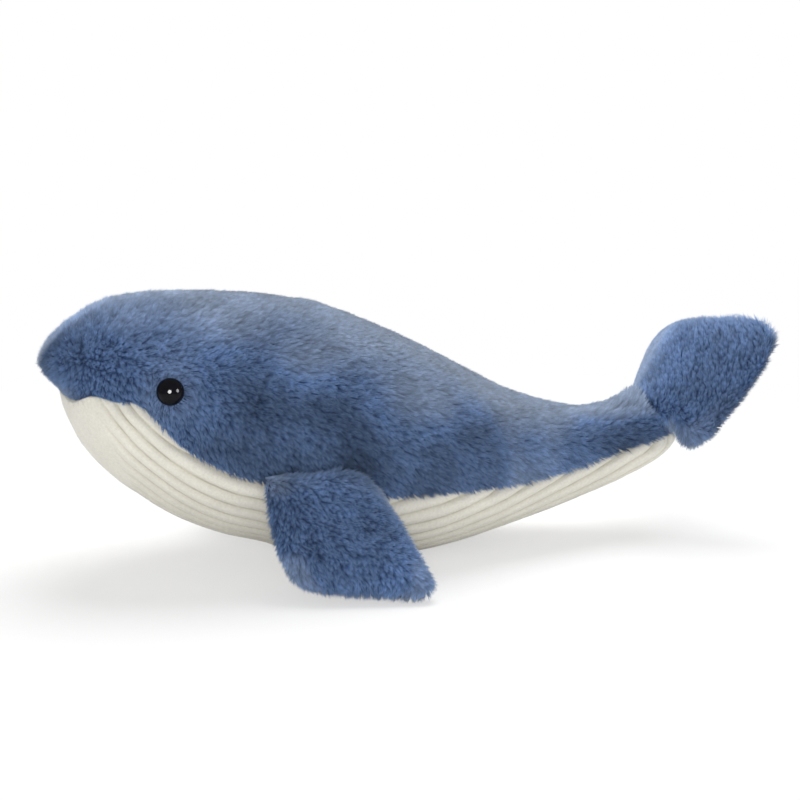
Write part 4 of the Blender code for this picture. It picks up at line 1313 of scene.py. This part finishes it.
flipperHinge, _, flipperSpan, _ = flipperAxes()
flukeHinge, _, _, _, flukeAhead, _ = flukeAxes()
for body, cloth in limbCloths.items():
    for piece in [cloth] + furPieces[body]:
        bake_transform(piece)
    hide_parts(f"{body}_top_panel", f"{body}_under_panel")
for piece in furPieces["body"]:
    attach(piece, "body")
for piece, body, slot, fill, node in (
        (leftFilling, "left_flipper", "white_fibre", 0.8, "left_flipper_stuffing"),
        (rightFilling, "right_flipper", "white_fibre", 0.8, "right_flipper_stuffing"),
        (flukeFilling, "fluke", "white_fibre", 0.8, "fluke_stuffing"),
        (leftCloth, "body", "blue_fur", 0.85, "left_side_panel"),
        (rightCloth, "body", "blue_fur", 0.85, "right_side_panel"),
        (bellyCloth, "body", "cream_rib_cloth", 0.85, "belly_panel"),
        (bodyFilling, "body", "white_fibre", 0.8, "body_stuffing"),
        (pouch, "body", "undyed_cotton", 0.5, "bean_pouch"),
        (leftEye, "body", "black_eye_plastic", None, "left_eye"),
        (rightEye, "body", "black_eye_plastic", None, "right_eye")):
    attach(piece, body)
    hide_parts(node)
print("pieces placed")


# stage, light and camera
studio = {
    "floorSize": 6.0,
    "floorColour": (0.93, 0.93, 0.93),
    "shadowKept": 0.45,  # share of the floor's own shading that shows beside the object
    "shadowFrom": 0.28,  # metres from the middle where it starts to fade to white
    "shadowTo": 0.62,
    "fillStrength": 0.42,
    "lamps": {  # place, aim, size, watts
        "overhead": ((0.30, 0.55, 1.60), (0.03, 0.0, 0.1), 1.4, 30.0),
        "key": ((-0.42, -1.50, 0.52), (-0.05, -0.05, 0.1), 0.40, 7.0),
    },
    "eyeLamps": {  # these shine on the eyes alone
        "ring": ((-0.52, -1.40, 0.47), (-0.13, -0.07, 0.13), 0.62, 75.0),
        "second": ((0.92, -1.12, 0.50), (-0.13, -0.07, 0.13), 0.60, 30.0),
    },
    "aim": (0.034, 0.0, 0.1015),
    "azimuth": -16.0,
    "elevation": 12.5,
    "distance": 1.4,
    "lens": 93.5,
}


def makeFloor():
    half = studio["floorSize"] / 2
    corners = [(-half, -half, 0), (half, -half, 0), (half, half, 0), (-half, half, 0)]
    floor = meshObject("floor", corners, [(0, 1, 2, 3)])
    made, tree, shader, place = newMaterial("paleFloor", 0.9)
    pale = studio["floorColour"]
    colour = ramp(tree, clouds(tree, place, 90.0), ((0.3, tuple(0.99 * c for c in pale)), (0.7, pale)))
    setSockets(tree, shader, {"Base Color": colour})
    away = addNode(tree, "ShaderNodeVectorMath", {0: place}, operation="LENGTH").outputs["Value"]
    limits = {0: away, 1: studio["shadowFrom"], 2: studio["shadowTo"], 3: 1 - studio["shadowKept"], 4: 1.0}
    fade = addNode(tree, "ShaderNodeMapRange", limits, interpolation_type="SMOOTHSTEP")
    seen = addNode(tree, "ShaderNodeLightPath").outputs["Is Camera Ray"]
    share = calculated(tree, "MULTIPLY", fade.outputs[0], seen)
    white = addNode(tree, "ShaderNodeEmission", {"Color": (1, 1, 1, 1), "Strength": 1.0}).outputs[0]
    both = addNode(tree, "ShaderNodeMixShader", {0: share, 1: shader.outputs[0], 2: white})
    setSockets(tree, tree.nodes["Material Output"], {"Surface": both.outputs[0]})
    floor.data.materials.append(made)


def makeSky():
    world = bpy.data.worlds.new("softRoom")
    bpy.context.scene.world = world
    world.use_nodes = True
    tree = world.node_tree
    tree.nodes.clear()
    path = addNode(tree, "ShaderNodeLightPath").outputs
    seen = calculated(tree, "MAXIMUM", path["Is Camera Ray"], path["Is Transmission Ray"])
    plain = {"Color": (1, 1, 1, 1)}
    fill, white = (addNode(tree, "ShaderNodeBackground", {**plain, "Strength": strength}).outputs[0]
                   for strength in (studio["fillStrength"], 1.0))
    both = addNode(tree, "ShaderNodeMixShader", {0: seen, 1: fill, 2: white}).outputs[0]
    addNode(tree, "ShaderNodeOutputWorld", {"Surface": both})


def makeLamps():
    eyes = {True: bpy.data.collections.new("eyesOnly"), False: bpy.data.collections.new("notTheEyes")}
    for shines, group in eyes.items():
        group.objects.link(leftEye)
        group.objects.link(rightEye)
        for entry in group.collection_objects:
            entry.light_linking.link_state = "INCLUDE" if shines else "EXCLUDE"
    eyeLamps = dict(studio["eyeLamps"])
    for name, (place, aim, size, watts) in studio["eyeLamps"].items():
        eyeLamps[name + "Right"] = (tuple(mirrored(place)), tuple(mirrored(aim)), size, watts)
    for shines, lamps in ((False, studio["lamps"]), (True, eyeLamps)):
        for name, (place, aim, size, watts) in lamps.items():
            lamp = bpy.data.lights.new(name, "AREA")
            lamp.shape = "DISK"
            lamp.size = size
            lamp.energy = watts
            thing = newObject(name, lamp)
            thing.location = place
            thing.rotation_euler = (Vector(aim) - Vector(place)).to_track_quat("-Z", "Y").to_euler()
            thing.light_linking.receiver_collection = eyes[shines]


def makeCamera():
    a, e = math.radians(studio["azimuth"]), math.radians(studio["elevation"])
    back = Vector((math.sin(a) * math.cos(e), -math.cos(a) * math.cos(e), math.sin(e)))
    camera = bpy.data.cameras.new("camera")
    camera.lens = studio["lens"]
    camera.sensor_width = 36.0
    thing = newObject("camera", camera)
    thing.location = Vector(studio["aim"]) + back * studio["distance"]
    thing.rotation_euler = (-back).to_track_quat("-Z", "Y").to_euler()
    bpy.context.scene.camera = thing


makeFloor()
makeSky()
makeLamps()
makeCamera()
bpy.context.scene.view_settings.view_transform = "Standard"
print("stage made")
